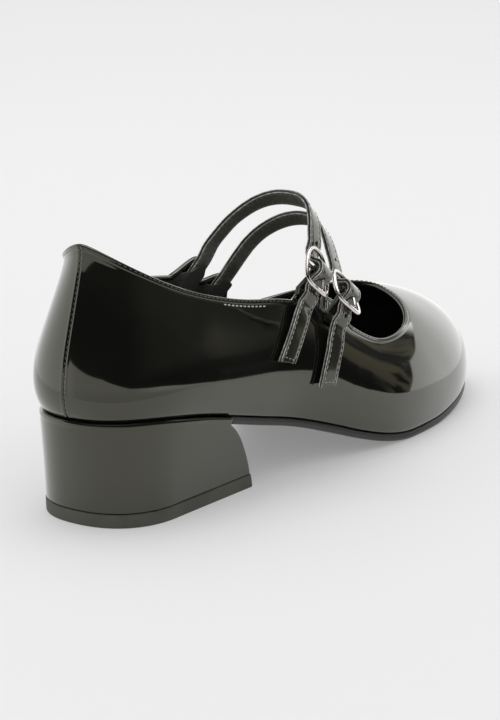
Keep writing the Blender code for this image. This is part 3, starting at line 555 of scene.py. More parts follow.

# The painted highlight dashes below them, near-white marks where the leather's puckers
# catch light: the middle and the half length of their row along the shoe, the step down
# from the stitches, and each mark's length and radius.
HIGHLIGHT_DASH_MIDDLE = 68.5
HIGHLIGHT_DASH_HALF = 11.0
HIGHLIGHT_DASH_STEP = 1.9 * unit(np.array([0.0, -0.1, -1.0]))
HIGHLIGHT_DASH_LENGTH = 0.62
HIGHLIGHT_DASH_RADIUS = 0.26

# The lining: its upper edge below the topline and that edge's lip, the depths of its inner
# and its hidden face in the wall, and its rows, closer together towards the top.
LINING_DROP = 1.7
LINING_LIP = 0.25
LINING_FACE = WALL - 0.1
LINING_BACK = UPPER_SKIN + 0.12
LINING_ROWS = 34
LINING_SPREAD = 1.6

# How the lining covers the seated end of a strap: how far it stands off, how far it
# reaches round the strap and how soon it fades.
SEAT_COVER_DEPTH = 3.3
SEAT_COVER_REACH = 7.0
SEAT_COVER_FADE = 2.8
SEAT_COVER_STATIONS = 14

# Straps: the distance between stations, the stations added past the end, and how many of
# the last ones slant. The patent layer's underside, its rounded edge and its seam row.
STRAP_STATION = 0.4
STRAP_RUN_ON = 10
SLANT_REACH = 24
STRAP_PATENT_LOW = -0.12
STRAP_EDGE_ROUND = 0.42
STRAP_STITCH_INSET = 0.95
STRAP_STITCH_ASIDE = (-0.34, -0.16, 0.0, 0.16, 0.34)
STRAP_END_INSET = 0.16

# A strap's stitches, on its face and on its lining: height over the middle plane, the side
# they face and the thread's radius. One row crosses the strap, so many stations before its
# end. Lengths, and that row's pitch, are shares of the pitch.
STRAP_STITCH_ROWS = ((STRAP_THICK / 2 - 0.11, 1, 0.19), (0.08 - STRAP_THICK / 2, -1, 0.12))
STRAP_CROSS_ROW = 5
STRAP_STITCH = 0.72
CROSS_STITCH = 0.6
CROSS_PITCH = 0.85

# Beads along a strap's rolled edges, light grey as painted highlight lines: inset, heights
# over the middle plane, half sizes.
HIGHLIGHT_BEAD_INSET = 0.1
HIGHLIGHT_BEAD_HEIGHTS = (STRAP_THICK / 2 - 0.24, 0.14 - STRAP_THICK / 2)
HIGHLIGHT_BEAD_SIZE = (0.24, 0.2)

# Punched holes, and the rings that lead a strap's surface into one: how much wider than
# the hole, how round from square to circle, and how far sunk.
HOLE_RADIUS = 0.62
HOLE_PITCH = {"rear": 6.6, "front": 7.6}
HOLE_STEPS = (-3, -2, -1, 0, 1)
HOLE_REACH = 1.6
HOLE_RINGS = ((0.55, 0.75, 0.0), (0.3, 1.0, 0.02), (0.12, 1.0, 0.08), (0.0, 1.0, 0.2))

# The buckle's wire: half width and half height as shares of its radius, how the foot of the
# frame differs, how high the foot is and how soon it fades.
WIRE_WIDE = 0.88
WIRE_TALL = 0.92
FOOT_WIDER = 0.34
FOOT_FLATTER = 0.06
FOOT_HIGH = 1.9
FOOT_FADE = 1.5

# The prong's curl round the bar in degrees, where its straight part leaves it, its bend,
# how far its tip passes the frame, and its half sizes as shares of its radius.
PRONG_CURL_TURN = (-200.0, 36.0)
PRONG_LEAVES = math.radians(60.0)
PRONG_BEND = (3.2, 1.85)
PRONG_PAST = 1.1
PRONG_WIDE = 1.08
PRONG_TALL = 0.95

# Sole, as rings of the inset from the feather and the drop below the upper: a softened
# upper edge, a fine line round the side and a bevel. Past the edge it narrows to a spine.
SOLE_EDGE_INSET = 2.0
SOLE_SPINE = 0.55
SOLE_COURSE = (
    (14.0, 0.0), (2.0, 0.0), (0.45, 0.0), (0.16, 0.1), (0.0, 0.35), (0.0, 0.95),
    (0.14, 1.03), (0.14, 1.13), (0.0, 1.21), (0.0, 1.7), (0.12, SOLE_THICK - SOLE_BEVEL),
    (0.4, SOLE_THICK - 0.35), (SOLE_BEVEL, SOLE_THICK - 0.06), (1.6, SOLE_THICK),
    (14.0, SOLE_THICK),
)

# Insole, as rings of the share of its width and the height over the board's top.
INSOLE_COURSE = (
    (1.0, -INSOLE_THICK), (1.0, -0.9), (0.99, -0.35), (0.97, 0.0),
    (0.9, -0.05), (0.75, -0.25), (0.5, -0.5), (0.2, -0.6),
)

# Heel cover, as rings of the share of the height, the inset and the drop, and top piece,
# as rings of the inset and the height. Shares of the half width stand on the breast.
HEEL_ROWS = 44
HEEL_CORNER_ROWS = 13
HEEL_CORNER_ROUND = 1.3
HEEL_CORNER_SHARE = 0.972
BREAST_SHARES = np.array([0.985, 0.95, 0.8, 0.45, 0.1])
HEEL_TOP_FRONT = 71.6
HEEL_FLANK = (*np.linspace(0.04, 0.84, 26), 0.85, 0.86, 0.868, 0.875, 0.89, 0.92, 0.94)
HEEL_COURSE = (
    (0.0, 0.55, 0.0), (0.0, 0.16, -0.03), (0.0, 0.03, -0.14), (0.0, 0.0, -0.35),
    *((share, 0.0, 0.0) for share in HEEL_FLANK),
    (1.0, 0.0, 1.5), (1.0, 0.01, 1.1), (1.0, 0.04, 0.75), (1.0, 0.16, 0.42),
    (1.0, 0.42, 0.16), (1.0, 0.8, 0.03), (1.0, 1.4, 0.0),
)
LIFT_COURSE = (
    (0.55, 0.0), (0.16, 0.05), (0.02, 0.2), (-0.05, 0.5), (-0.12, 2.4), (-0.12, 4.4),
    (-0.08, TOP_PIECE_THICK - 0.22), (0.06, TOP_PIECE_THICK - 0.04), (0.3, TOP_PIECE_THICK),
)


# ---------------------------------------------------------------- shader sums

class Value:
    """A shader socket that takes part in sums written as Python expressions."""

    def __init__(self, graph, socket):
        self.graph = graph
        self.socket = socket

    def math(self, operation, *others):
        values = dict(enumerate((self, *others)))
        return self.graph.node("Math", {"operation": operation}, values)["Value"]

    def flipped(self, operation, other):
        return self.graph.node("Math", {"operation": operation}, {0: other, 1: self})["Value"]

    def __add__(self, other):
        return self.math("ADD", other)

    __radd__ = __add__

    def __mul__(self, other):
        return self.math("MULTIPLY", other)

    __rmul__ = __mul__

    def __sub__(self, other):
        return self.math("SUBTRACT", other)

    def __rsub__(self, other):
        return self.flipped("SUBTRACT", other)

    def __truediv__(self, other):
        return self.math("DIVIDE", other)

    def __rtruediv__(self, other):
        return self.flipped("DIVIDE", other)

    def __pow__(self, other):
        return self.math("POWER", other)

    def step_up(self, low, high):
        """0 below low, 1 above high, smooth between them."""
        values = {"Value": self, "From Min": low, "From Max": high}
        return self.graph.node("MapRange", {"interpolation_type": "SMOOTHSTEP"}, values)["Result"]


class Graph:
    """A node tree that is built one node at a time."""

    def __init__(self, tree):
        self.tree = tree
        tree.nodes.clear()

    def node(self, kind, settings=None, values=None):
        """Adds a node: its settings first, then its sockets. Gives its outputs by name."""
        made = self.tree.nodes.new("ShaderNode" + kind)
        for name, setting in (settings or {}).items():
            if name == "stops":
                self.set_stops(made.color_ramp, setting)
            elif name == "ramp":
                made.color_ramp.interpolation = setting
            else:
                setattr(made, name, setting)
        for name, value in (values or {}).items():
            self.feed(made, name, value)
        return {item.name: Value(self, item) for item in made.outputs if item.enabled}

    def feed(self, made, name, value):
        if isinstance(name, int):
            socket = made.inputs[name]
        else:
            socket = next(item for item in made.inputs if item.name == name and item.enabled)
        if isinstance(value, Value):
            self.tree.links.new(value.socket, socket)
        else:
            socket.default_value = value

    def set_stops(self, ramp, stops):
        while len(ramp.elements) > 1:
            ramp.elements.remove(ramp.elements[-1])
        ramp.elements[0].position = stops[0][0]
        ramp.elements[0].color = tone(stops[0][1])
        for place, shade in stops[1:]:
            ramp.elements.new(place).color = tone(shade)

    def mix(self, share, first, second):
        values = {"Factor": share, "A": first, "B": second}
        return self.node("Mix", {"data_type": "RGBA"}, values)["Result"]

    def noise(self, place, scale, detail=2.0, roughness=0.5):
        values = {"Vector": place, "Scale": scale, "Detail": detail, "Roughness": roughness}
        return self.node("TexNoise", {}, values)["Fac"]

    def cells(self, place, scale, feature="F1"):
        values = {"Vector": place, "Scale": scale}
        return self.node("TexVoronoi", {"feature": feature}, values)["Distance"]

    def stretched(self, place, factors):
        values = {0: place, 1: factors}
        return self.node("VectorMath", {"operation": "MULTIPLY"}, values)["Vector"]

    def bump(self, height, strength=1.0):
        """Normal from a height in metres."""
        values = {"Height": height, "Strength": strength, "Distance": 1.0}
        return self.node("Bump", {}, values)["Normal"]


def tone(colour, factor=1.0):
    """Colour socket's value, from one shade or from three, made lighter or darker by factor."""
    if isinstance(colour, (int, float)):
        colour = (colour, colour, colour)
    return (*[shade * factor for shade in colour], 1.0)


def finish(recipe):
    """Turns a recipe, which gives the shader's values, into a function that makes a material."""

    def make(name, colour, **looks):
        material = bpy.data.materials.new(name)
        material.use_nodes = True
        graph = Graph(material.node_tree)
        place = graph.node("TexCoord")["Object"]
        shader = graph.node("BsdfPrincipled", {}, recipe(graph, place, colour, **looks))["BSDF"]
        graph.node("OutputMaterial", {}, {"Surface": shader})
        return material

    return make


PATENT_TINT = (1.0, 1.0, 0.64, 1.0)


@finish
def patent_finish(graph, place, colour, haze, grain=1.0):
    """Patent leather: near-black film over smooth leather, under a clear glossy coat."""
    slow = graph.noise(place, 38.0, 1.0)
    peel = graph.noise(place, 420.0)
    dust = graph.noise(place, 2600.0, 3.0).step_up(0.62, 0.80)
    shade = graph.mix(slow.step_up(0.35, 0.65), tone(colour), tone(colour, 1.5))
    return {
        "Base Color": graph.mix(dust * 0.06, shade, tone(0.12)),
        "Roughness": haze + 0.03 * slow + 0.05 * dust,
        "IOR": 1.5,
        "Specular Tint": PATENT_TINT,
        "Coat Weight": 1.0,
        "Coat Roughness": 0.022,
        "Coat IOR": 1.5,
        "Normal": graph.bump(slow * 6.0e-5 + peel * (1.2e-6 * grain)),
    }


@finish
def grained_finish(graph, place, colour, roughness, grain, depth):
    """Dull leather with a fine irregular grain."""
    pebble = graph.cells(place, grain)
    fibre = graph.noise(place, grain * 2.6, 3.0)
    patch = graph.noise(place, 60.0)
    shade = graph.mix(pebble.step_up(0.15, 0.75), tone(colour, 1.7), tone(colour))
    return {
        "Base Color": graph.mix(patch.step_up(0.4, 0.7) * 0.35, shade, tone(colour, 0.6)),
        "Roughness": roughness + 0.12 * fibre,
        "IOR": 1.45,
        "Normal": graph.bump((pebble * -1.0 + fibre * 0.6) * depth),
    }


@finish
def thread_finish(graph, place, colour):
    """Bonded sewing thread: slightly glossy, with the slant of its plies."""
    values = {"Vector": place, "Scale": 1900.0, "Distortion": 0.4}
    ply = graph.node("TexWave", {"bands_direction": "DIAGONAL"}, values)["Fac"]
    return {
        "Base Color": graph.mix(ply * 0.7, tone(colour, 0.5), tone(colour)),
        "Roughness": 0.34 + 0.1 * graph.noise(place, 3000.0),
        "IOR": 1.5,
        "Normal": graph.bump(ply * 3.0e-5),
    }


@finish
def edge_highlight_finish(graph, place, colour):
    """Painted highlight on a strap's rolled edge: a thin, semi-gloss light grey bead, a little
    uneven along the cut edge.
    """
    run = graph.noise(place, 700.0, 3.0)
    return {
        "Base Color": graph.mix(run.step_up(0.4, 0.65), tone(colour, 0.45), tone(colour)),
        "Roughness": 0.24 + 0.16 * run,
        "IOR": 1.5,
        "Normal": graph.bump(run * 3.0e-5),
    }


@finish
def steel_finish(graph, place, colour):
    """Polished plated steel with faint handling marks."""
    cloud = graph.noise(place, 260.0, 3.0)
    scratch = graph.noise(graph.stretched(place, (900.0, 260.0, 900.0)), 1.0, 3.0)
    return {
        "Base Color": graph.mix(cloud.step_up(0.3, 0.75), tone(colour), tone(colour, 0.86)),
        "Metallic": 1.0,
        "Roughness": 0.17 + 0.10 * cloud + 0.10 * scratch.step_up(0.58, 0.72),
        "Normal": graph.bump(scratch * 1.5e-6),
    }


@finish
def rubber_finish(graph, place, colour, roughness):
    """Moulded top piece and sole stock: dull, with a fine tooth."""
    tooth = graph.noise(place, 1700.0, 3.0)
    cloud = graph.noise(place, 90.0, 3.0)
    scuff = graph.noise(graph.stretched(place, (150.0, 90.0, 900.0)), 1.0, 4.0)
    shade = graph.mix(cloud.step_up(0.3, 0.7), tone(colour), tone(colour, 1.35))
    return {
        "Base Color": graph.mix(scuff.step_up(0.62, 0.8) * 0.25, shade, tone(colour, 2.2)),
        "Roughness": roughness + 0.12 * cloud,
        "IOR": 1.5,
        "Normal": graph.bump(tooth * 1.6e-5 + scuff * 1.0e-5),
    }


@finish
def paper_finish(graph, place, colour, glow):
    """Studio floor: matt board lit a little from below, with a barely visible tooth."""
    tooth = graph.noise(place, 900.0)
    return {
        "Base Color": graph.mix(graph.noise(place, 3.0), tone(colour), tone(colour, 0.985)),
        "Roughness": 0.75 + 0.05 * tooth,
        "IOR": 1.3,
        "Emission Color": tone(glow),
        "Emission Strength": 1.0,
        "Normal": graph.bump(tooth * 5.0e-6),
    }


# ---------------------------------------------------------------- mesh helpers

def new_piece(name, shape, material, sharp=50.0):
    """Closed mesh from points in shoe millimetres and faces, riding on the root body."""
    mesh = bpy.data.meshes.new(name)
    mesh.from_pydata(to_world(shape[0]).tolist(), [], shape[1])
    body = bmesh.new()
    body.from_mesh(mesh)
    bmesh.ops.recalc_face_normals(body, faces=body.faces)
    body.to_mesh(mesh)
    body.free()
    mesh.shade_smooth()
    mesh.set_sharp_from_angle(angle=math.radians(sharp))
    piece = bpy.data.objects.new(name, mesh)
    mesh.materials.append(material)
    bpy.context.scene.collection.objects.link(piece)
    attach(piece, ROOT)
    return piece


def lattice_faces(rows, columns, wrap_rows, wrap_columns):
    """Quads between neighbouring points of a rows by columns lattice."""
    i = np.arange(rows if wrap_rows else rows - 1)[:, None]
    j = np.arange(columns if wrap_columns else columns - 1)[None, :]
    below = i * columns
    above = (i + 1) % rows * columns
    right = (j + 1) % columns
    quads = np.stack([below + j, below + right, above + right, above + j], axis=-1)
    return quads.reshape(-1, 4).tolist()


def tube_faces(rings, sides, closed=False):
    """Faces of a tube of rings, with a cap at both ends unless it runs into itself."""
    faces = lattice_faces(rings, sides, closed, True)
    if not closed:
        faces += [list(range(start, start + sides)) for start in (0, (rings - 1) * sides)]
    return faces


def gather(parts):
    """One points array and face list from several (points, faces) pairs."""
    faces = []
    base = 0
    for points, some_faces in parts:
        faces += [[base + k for k in face] for face in some_faces]
        base += len(points)
    return np.vstack([points for points, _ in parts]), faces


def sweep(path, side, up, half_side, half_up, power=2.0, count=14, closed=False):
    """Tube along path; its section is a superellipse set by half sizes at each point."""
    angles = np.linspace(0, 2 * np.pi, count, endpoint=False)
    rings = path[:, None, :]
    for half, turn, way in ((half_side, np.cos(angles), side), (half_up, np.sin(angles), up)):
        bulge = np.sign(turn) * np.abs(turn) ** (2 / power)
        reach = np.broadcast_to(half, len(path))[:, None, None] * bulge[None, :, None]
        rings = rings + reach * np.broadcast_to(way, path.shape)[:, None, :]
    return rings.reshape(-1, 3), tube_faces(len(path), count, closed)


# Rings of a stitch: the place along its half length, and the share of its full thickness.
STITCH_RINGS = ((-1.0, 0.28), (-0.86, 0.72), (-0.45, 1.0), (0.45, 1.0), (0.86, 0.72), (1.0, 0.28))
STITCH_SIDES = 7
# How far a stitch's middle stands up and how far its ends dive, as shares of its radius, and
# how far to both sides its direction is taken from.
STITCH_RISE = 0.35
STITCH_DIVE = 0.75
STITCH_LOOK = 0.3


def stitches(centres, runs, normals, length, radius):
    """Sunken stitches: short bars that lie along runs and dive in at both ends."""
    sideways = unit(np.cross(normals, runs))
    angles = np.linspace(0, 2 * np.pi, STITCH_SIDES, endpoint=False)
    wide = radius * np.cos(angles)[None, :, None]
    tall = radius * np.sin(angles)[None, :, None]
    rings = []
    for place, share in STITCH_RINGS:
        reach = centres + runs * place * length / 2
        reach = reach + normals * radius * (STITCH_RISE - STITCH_DIVE * place * place)
        ring = reach[:, None, :] + sideways[:, None, :] * wide * share
        rings.append(ring + normals[:, None, :] * tall * share)
    single = tube_faces(len(STITCH_RINGS), STITCH_SIDES)
    count = len(STITCH_RINGS) * STITCH_SIDES
    bases = range(0, count * len(centres), count)
    faces = [[k + base for k in face] for base in bases for face in single]
    return np.stack(rings, axis=1).reshape(-1, 3), faces


def stitch_row(path, normals, pitch, length, radius, closed=False):
    """Stitches at an even pitch along a path that lies on a surface."""
    if closed:
        path = np.vstack([path, path[:1]])
        normals = np.vstack([normals, normals[:1]])
    run = run_lengths(path)
    number = max(int(round(run[-1] / pitch)), 1)
    stops = (np.arange(number) + 0.5) * run[-1] / number
    ahead = rows_at(np.minimum(stops + STITCH_LOOK, run[-1]), run, path)
    behind = rows_at(np.maximum(stops - STITCH_LOOK, 0.0), run, path)
    runs = unit(ahead - behind)
    tilt = rows_at(stops, run, normals)
    tilt = unit(tilt - runs * np.sum(tilt * runs, axis=1, keepdims=True))
    return stitches(rows_at(stops, run, path), runs, tilt, length, radius)


# ---------------------------------------------------------------- the upper

# Soft troughs and ridges of the leather: two ends as y and z on one side of the shoe, the
# half width across the line, and the height (a trough is negative).
CREASES = (
    (1, (57.5, 71.0), (65.0, 67.6), 0.55, 0.60),
    (1, (62.5, 69.0), (71.0, 63.4), 0.55, 0.26),
    (1, (68.5, 65.2), (77.5, 60.6), 0.6, 0.18),
    (1, (75.0, 61.6), (84.0, 58.9), 0.7, 0.16),
    (1, (20.0, 52.0), (44.0, 44.0), 8.0, -0.14),
    (1, (52.0, 47.0), (84.0, 49.0), 9.0, 0.12),
    (1, (96.0, 40.0), (120.0, 30.0), 9.0, -0.12),
    (1, (128.0, 26.0), (150.0, 18.0), 8.0, -0.14),
    (1, (140.0, 38.0), (160.0, 22.0), 6.0, 0.12),
    (1, (172.0, 36.0), (188.0, 16.0), 7.0, -0.12),
    (-1, (30.0, 56.0), (60.0, 46.0), 9.0, -0.14),
    (-1, (72.0, 58.0), (98.0, 42.0), 8.0, 0.12),
    (-1, (110.0, 46.0), (132.0, 26.0), 8.0, -0.14),
    (-1, (138.0, 36.0), (158.0, 20.0), 7.0, 0.12),
    (-1, (166.0, 38.0), (186.0, 18.0), 8.0, -0.12),
)


def upper_columns():
    """Knots round the shoe for the leather, dense at the tabs' edges and the back seam."""
    dense = [(0.0, *SEAM_FINE), (PERIOD, *SEAM_FINE)]
    for tab in TABS:
        low, high = sorted(knot_at(tab.side, foot) for foot in (tab.rear_foot, tab.front_foot))
        dense.append(((low + high) / 2, (high - low) / 2 + 1.5, TAB_STEP))
    knots = [0.0]
    while knots[-1] < PERIOD:
        here = knots[-1]
        step = COLUMN_STEP
        for middle, reach, fine in dense:
            if abs(here + fine - middle) < reach:
                step = min(step, fine)
        knots.append(here + step)
    knots = np.array(knots)
    return knots[knots < PERIOD - SEAM_FINE[1] / 2]


def speed_at(u):
    """Millimetres of wall for each unit of v, near the topline."""
    values = places_at(u)
    height, _ = tab_height(u)
    inward_reach = np.hypot(values[:, HIGH_OUT], values[:, HIGH_DOWN])[:, 0]
    return 3 * inward_reach + height


def topline(u):
    return wall(u, np.ones(len(u)))


def inside_row(columns, v, depth):
    """Row of points at a depth inside the wall."""
    return wall(columns, v) - wall_normal(columns, v) * depth


def tree_of(points):
    tree = KDTree(len(points))
    for index, point in enumerate(points):
        tree.insert(point, index)
    tree.balance()
    return tree


def crease_lift(points, side_of):
    """Height of the hand-laid creases at outer surface points."""
    lift = np.zeros(len(points))
    flat = points[:, 1:]
    for side, start, end, half_width, height in CREASES:
        line = np.array(end) - start
        length = np.linalg.norm(line)
        line = line / length
        reach = flat - start
        t = np.clip(reach @ line, 0, length)
        away = np.linalg.norm(reach - t[:, None] * line, axis=1) / half_width
        fade = np.sin(np.pi * (0.12 + 0.76 * t / length)) ** 0.8
        lift += height * fade * np.exp(-away ** 2) * (side_of == side)
    return lift


def band_lift(distance):
    """Profile of the folded edge: proud within its width, sunk at its stitches and below it."""
    proud = BAND_PROUD * smooth(np.clip((BAND_WIDTH + BAND_PAST - distance) / BAND_EDGE, 0, 1))
    trough = TROUGH_DEPTH * np.exp(-((distance - BAND_WIDTH - TROUGH_DROP) / TROUGH_HALF) ** 2)
    bed = STITCH_BED * np.exp(-((distance - STITCH_INSET) / STITCH_BED_HALF) ** 2)
    return proud - trough - bed


def upper_surface():
    """Columns, and the outer surface as rows of points and normals, lowest row first."""
    columns = upper_columns()
    speed = speed_at(columns)
    drops = np.concatenate([BAND_DROPS, QUARTER_DROPS])[::-1]
    base = 1 - drops[0] / speed
    climb = np.linspace(0, 1, QUARTER_ROWS)[:-1]
    levels = [base * share for share in 1 - (1 - climb) ** QUARTER_SPREAD]
    levels[1] = base * FEATHER_ROW
    levels += [1 - drop / speed for drop in drops]
    u = np.tile(columns, len(levels))
    v = np.concatenate(levels)
    points = wall(u, v)
    normals = wall_normal(u, v)
    rim = tree_of(topline(np.linspace(0, PERIOD, RIM_SAMPLES, endpoint=False)))
    distance = np.full(len(points), RIM_FAR)
    for index in np.flatnonzero(np.tile(speed, len(levels)) * (1 - v) < RIM_NEAR):
        distance[index] = rim.find(points[index])[2]
    lift = band_lift(distance)
    side_of = np.where(u < TOE_KNOT, 1, -1)
    lift += crease_lift(points, side_of) * np.clip((distance - 3.0) / 5.0, 0, 1)
    x, y, z = points.T
    seam = SEAM_DEPTH * np.exp(-(x / SEAM_HALF) ** 2)
    lip = SEAM_LIP * np.exp(-((np.abs(x) - 1.0) / 0.5) ** 2)
    lift += (y < SEAM_REACH) * (lip - seam)
    lift -= FEATHER_TUCK * np.clip(1 - v / 0.03, 0, 1) ** 2
    lean = np.clip((z - COUNTER_LOW) / 13.0, 0, 1) ** 2 * np.clip((distance - 0.8) / 2.6, 0, 1)
    lift -= COUNTER_LEAN * lean * np.clip((COUNTER_FRONT - y) / 12.0, 0, 1)
    shape = (len(levels), len(columns), 3)
    return columns, (points + normals * lift[:, None]).reshape(shape), normals.reshape(shape)


def wall_rows(columns, drops, depths):
    """Rows of points at drops below the topline and depths inside the wall."""
    speed = speed_at(columns)
    return [
        inside_row(columns, np.clip(1 - drop / speed, 0, 1), depth)
        for drop, depth in zip(drops, depths)
    ]


def inner_rows(columns, depth, top_drop, shares):
    """Rows from under the topline down to the feather at one depth inside the wall."""
    top = 1 - top_drop / speed_at(columns)
    rows = [inside_row(columns, top * share, depth) for share in shares]
    lowest = int(np.argmin(shares))
    rows[lowest][:, 2] = wall(columns, top * 0.0)[:, 2] + 0.02
    return rows


def seat_cover(points, normals, lines):
    """How far the lining stands off the wall at points, where it covers a strap's seat."""
    cover = np.zeros(len(points))
    normals = normals[:, None, :]
    for line in lines:
        reach = points[:, None, :] - line[None, :, :]
        aside = reach - np.sum(reach * normals, axis=2)[..., None] * normals
        away = np.linalg.norm(aside, axis=2).min(axis=1)
        near = np.clip((SEAT_COVER_REACH - away) / SEAT_COVER_FADE, 0, 1)
        cover = np.maximum(cover, SEAT_COVER_DEPTH * smooth(near))
    return cover


def build_upper(settings):
    """The leather with its folded topline, its closed back seam and its dull lining."""
    columns, outer, normals = upper_surface()
    arc = np.radians(np.linspace(0, 180, RIM_STEPS)[1:])
    thick = WALL + BAND_PROUD + FOLD_PROUD
    rim_depths = thick * (1 - np.cos(arc)) / 2 - BAND_PROUD
    fold = WALL + FOLD_PROUD
    fold_depths = (fold, fold, fold - 0.02, fold - 0.2, UPPER_SKIN + 0.02)
    rows = list(outer) + wall_rows(columns, RIM_DROP * (1 - np.sin(arc)), rim_depths)
    rows += wall_rows(columns, FOLD_DROPS, fold_depths)
    rows += inner_rows(columns, UPPER_SKIN, SKIN_BACK_DROP, np.linspace(1, 0, SKIN_BACK_ROWS))
    shape = (np.vstack(rows), lattice_faces(len(rows), len(columns), True, True))
    leather = patent_finish("patent leather", settings.patent_colour, haze=0.06)
    piece = new_piece("upper_leather", shape, leather, sharp=60.0)
    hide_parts("upper")
    columns = columns[::2]
    shares = 1 - np.linspace(0, 1, LINING_ROWS) ** LINING_SPREAD
    rows = inner_rows(columns, LINING_FACE, LINING_DROP, shares)
    rows += inner_rows(columns, LINING_BACK, LINING_DROP, shares[::-1])
    sample = wall_sample()
    lines = [strap_path(strap, sample, 1.0)[0][:SEAT_COVER_STATIONS] for strap in STRAPS.values()]
    top = 1 - LINING_DROP / speed_at(columns)
    for row, share in zip(rows, np.concatenate([shares, shares[::-1]])):
        if share > 0.5:
            inward = wall_normal(columns, top * share)
            row -= inward * seat_cover(row, inward, lines)[:, None]
    for row in rows[shares.size - 1:shares.size + 1]:
        row[:, 2] += LINING_LIP
    shape = (np.vstack(rows), lattice_faces(len(rows), len(columns), True, True))
    lining = grained_finish(
        "lining leather", settings.lining_colour, roughness=0.55, grain=1300.0, depth=3.0e-5
    )
    new_piece("upper_lining", shape, lining)
    return outer, normals


def surface_finder(outer, normals):
    """Function that moves points onto the outer surface and gives its normals there."""
    points = outer.reshape(-1, 3)
    directions = normals.reshape(-1, 3)
    tree = tree_of(points)

    def onto(places):
        near = np.array([tree.find(place)[1] for place in places])
        normal = directions[near]
        height = np.sum((places - points[near]) * normal, axis=1, keepdims=True)
        return places - height * normal, normal

    return onto


def build_topline_stitches(settings, onto):
    """A row of stitches in the folded edge, painted highlight dashes below it, and the back
    seam's row.
    """
    pitch = settings.stitch_pitch / MM
    # The upper's stitches take the straps' thread colour darkened: painted shade.
    shade = [part * TOPLINE_THREAD_PAINTED_SHADE for part in settings.thread_colour]
    thread = thread_finish("edge thread", shade)
    highlight_paint = thread_finish("rubbed edge", settings.painted_highlight_colour)
    knots = np.linspace(0, PERIOD, 2400, endpoint=False)
    rim = topline(knots)
    runs = unit(np.roll(rim, -1, axis=0) - np.roll(rim, 1, axis=0))
    down = unit(np.cross(runs, wall_normal(knots, np.full(len(knots), 0.998))))
    down *= -np.sign(down[:, 2:3] + 1e-9)
    path, tilt = onto(rim + down * STITCH_INSET)
    keep = [0]
    for index in range(1, len(path)):
        if np.linalg.norm(path[index] - path[keep[-1]]) > PATH_GAP:
            keep.append(index)
    path = path[keep]
    tilt = tilt[keep]
    # Near-white dashes on the outer side only: painted highlight where the puckers below the
    # stitches catch light.
    highlit = (tilt[:, 0] > 0) & (np.abs(path[:, 1] - HIGHLIGHT_DASH_MIDDLE) < HIGHLIGHT_DASH_HALF)
    marks = stitch_row(*onto(path[highlit] + HIGHLIGHT_DASH_STEP), pitch, pitch * HIGHLIGHT_DASH_LENGTH, HIGHLIGHT_DASH_RADIUS)
    new_piece("topline_painted_highlights", marks, highlight_paint)
    row = stitch_row(path, tilt, pitch, pitch * TOPLINE_STITCH, STITCH_RADIUS, closed=True)
    new_piece("topline_stitches", row, thread)
    path, tilt = onto(wall(np.zeros(300), np.linspace(*SEAM_ROW, 300)) - (0.0, 0.4, 0.0))
    path[:, 0] = 0.0
    tilt = unit(tilt * (0.0, 1.0, 1.0))
    row = stitch_row(path, tilt, pitch * SEAM_PITCH, pitch * SEAM_STITCH, STITCH_RADIUS)
    new_piece("back_seam_stitches", row, thread)


# ---------------------------------------------------------------- sole, insole and heel

def closed_slab(rings):
    """Body from rings of outer-side then inner-side points, its ends closed by strips."""
    count = len(rings[0])
    half = count // 2
    points = np.vstack(rings)
    faces = lattice_faces(len(rings), count, False, True)
    for base in (0, (len(rings) - 1) * count):
        for i in range(half - 1):
            faces.append([base + i, base + i + 1, base + count - 2 - i, base + count - 1 - i])
    return points, faces


def length_rows(back, front, count, round_back):
    """Places from back to front, closer together at the rounded front and a rounded back."""
    t = np.linspace(0, 1, count)
    share = (1 - np.cos(np.pi * t)) / 2 if round_back else np.sin(np.pi * t / 2)
    return back + (front - back) * share


def level_ring(outer, inner, rows, height):
    """Ring that runs along the outer side and back along the inner side."""
    lateral = np.column_stack([outer, rows, height])
    medial = np.column_stack([inner, rows, height])
    return np.vstack([lateral, medial[::-1]])


def build_sole(settings):
    """Sole with a softened upper edge, a fine line round its side and a bevel below."""
    ys, _ = feather_side(1, 0.0)
    rows = length_rows(SOLE_REAR, ys.max() - 0.05, 150, False)
    rings = []
    for inset, drop in SOLE_COURSE:
        edge = min(inset, SOLE_EDGE_INSET)
        outer, inner = (feather_x(side, edge, rows) for side in (1, -1))
        if inset > edge:
            middle = (outer + inner) / 2
            outer, inner = (middle + (line - middle) * SOLE_SPINE for line in (outer, inner))
        height = np.maximum(bottom_height(rows) - GAP - drop, 0.0)
        rings.append(level_ring(outer, inner, rows, height))
    resin = rubber_finish("sole resin", settings.sole_colour, roughness=0.3)
    piece = new_piece("sole", closed_slab(rings), resin, 40.0)
    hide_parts("outsole")


def build_insole(settings):
    """Leather-covered insole board, dished a little, with a rounded edge."""
    ys, _ = feather_side(1, INSOLE_INSET)
    rows = length_rows(ys.min() + 0.2, ys.max() - 0.2, 120, True)
    outer, inner = (feather_x(side, INSOLE_INSET, rows) for side in (1, -1))
    middle = (outer + inner) / 2
    half = np.maximum((outer - inner) / 2, 0.3)
    rings = []
    for share, over in INSOLE_COURSE:
        height = bottom_height(rows) + (INSOLE_THICK + over)
        rings.append(level_ring(middle + half * share, middle - half * share, rows, height))
    leather = grained_finish(
        "insole leather", settings.lining_colour, roughness=0.5, grain=1100.0, depth=3.0e-5
    )
    piece = new_piece("insole_sock", closed_slab(rings), leather, 40.0)
    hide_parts("insole")


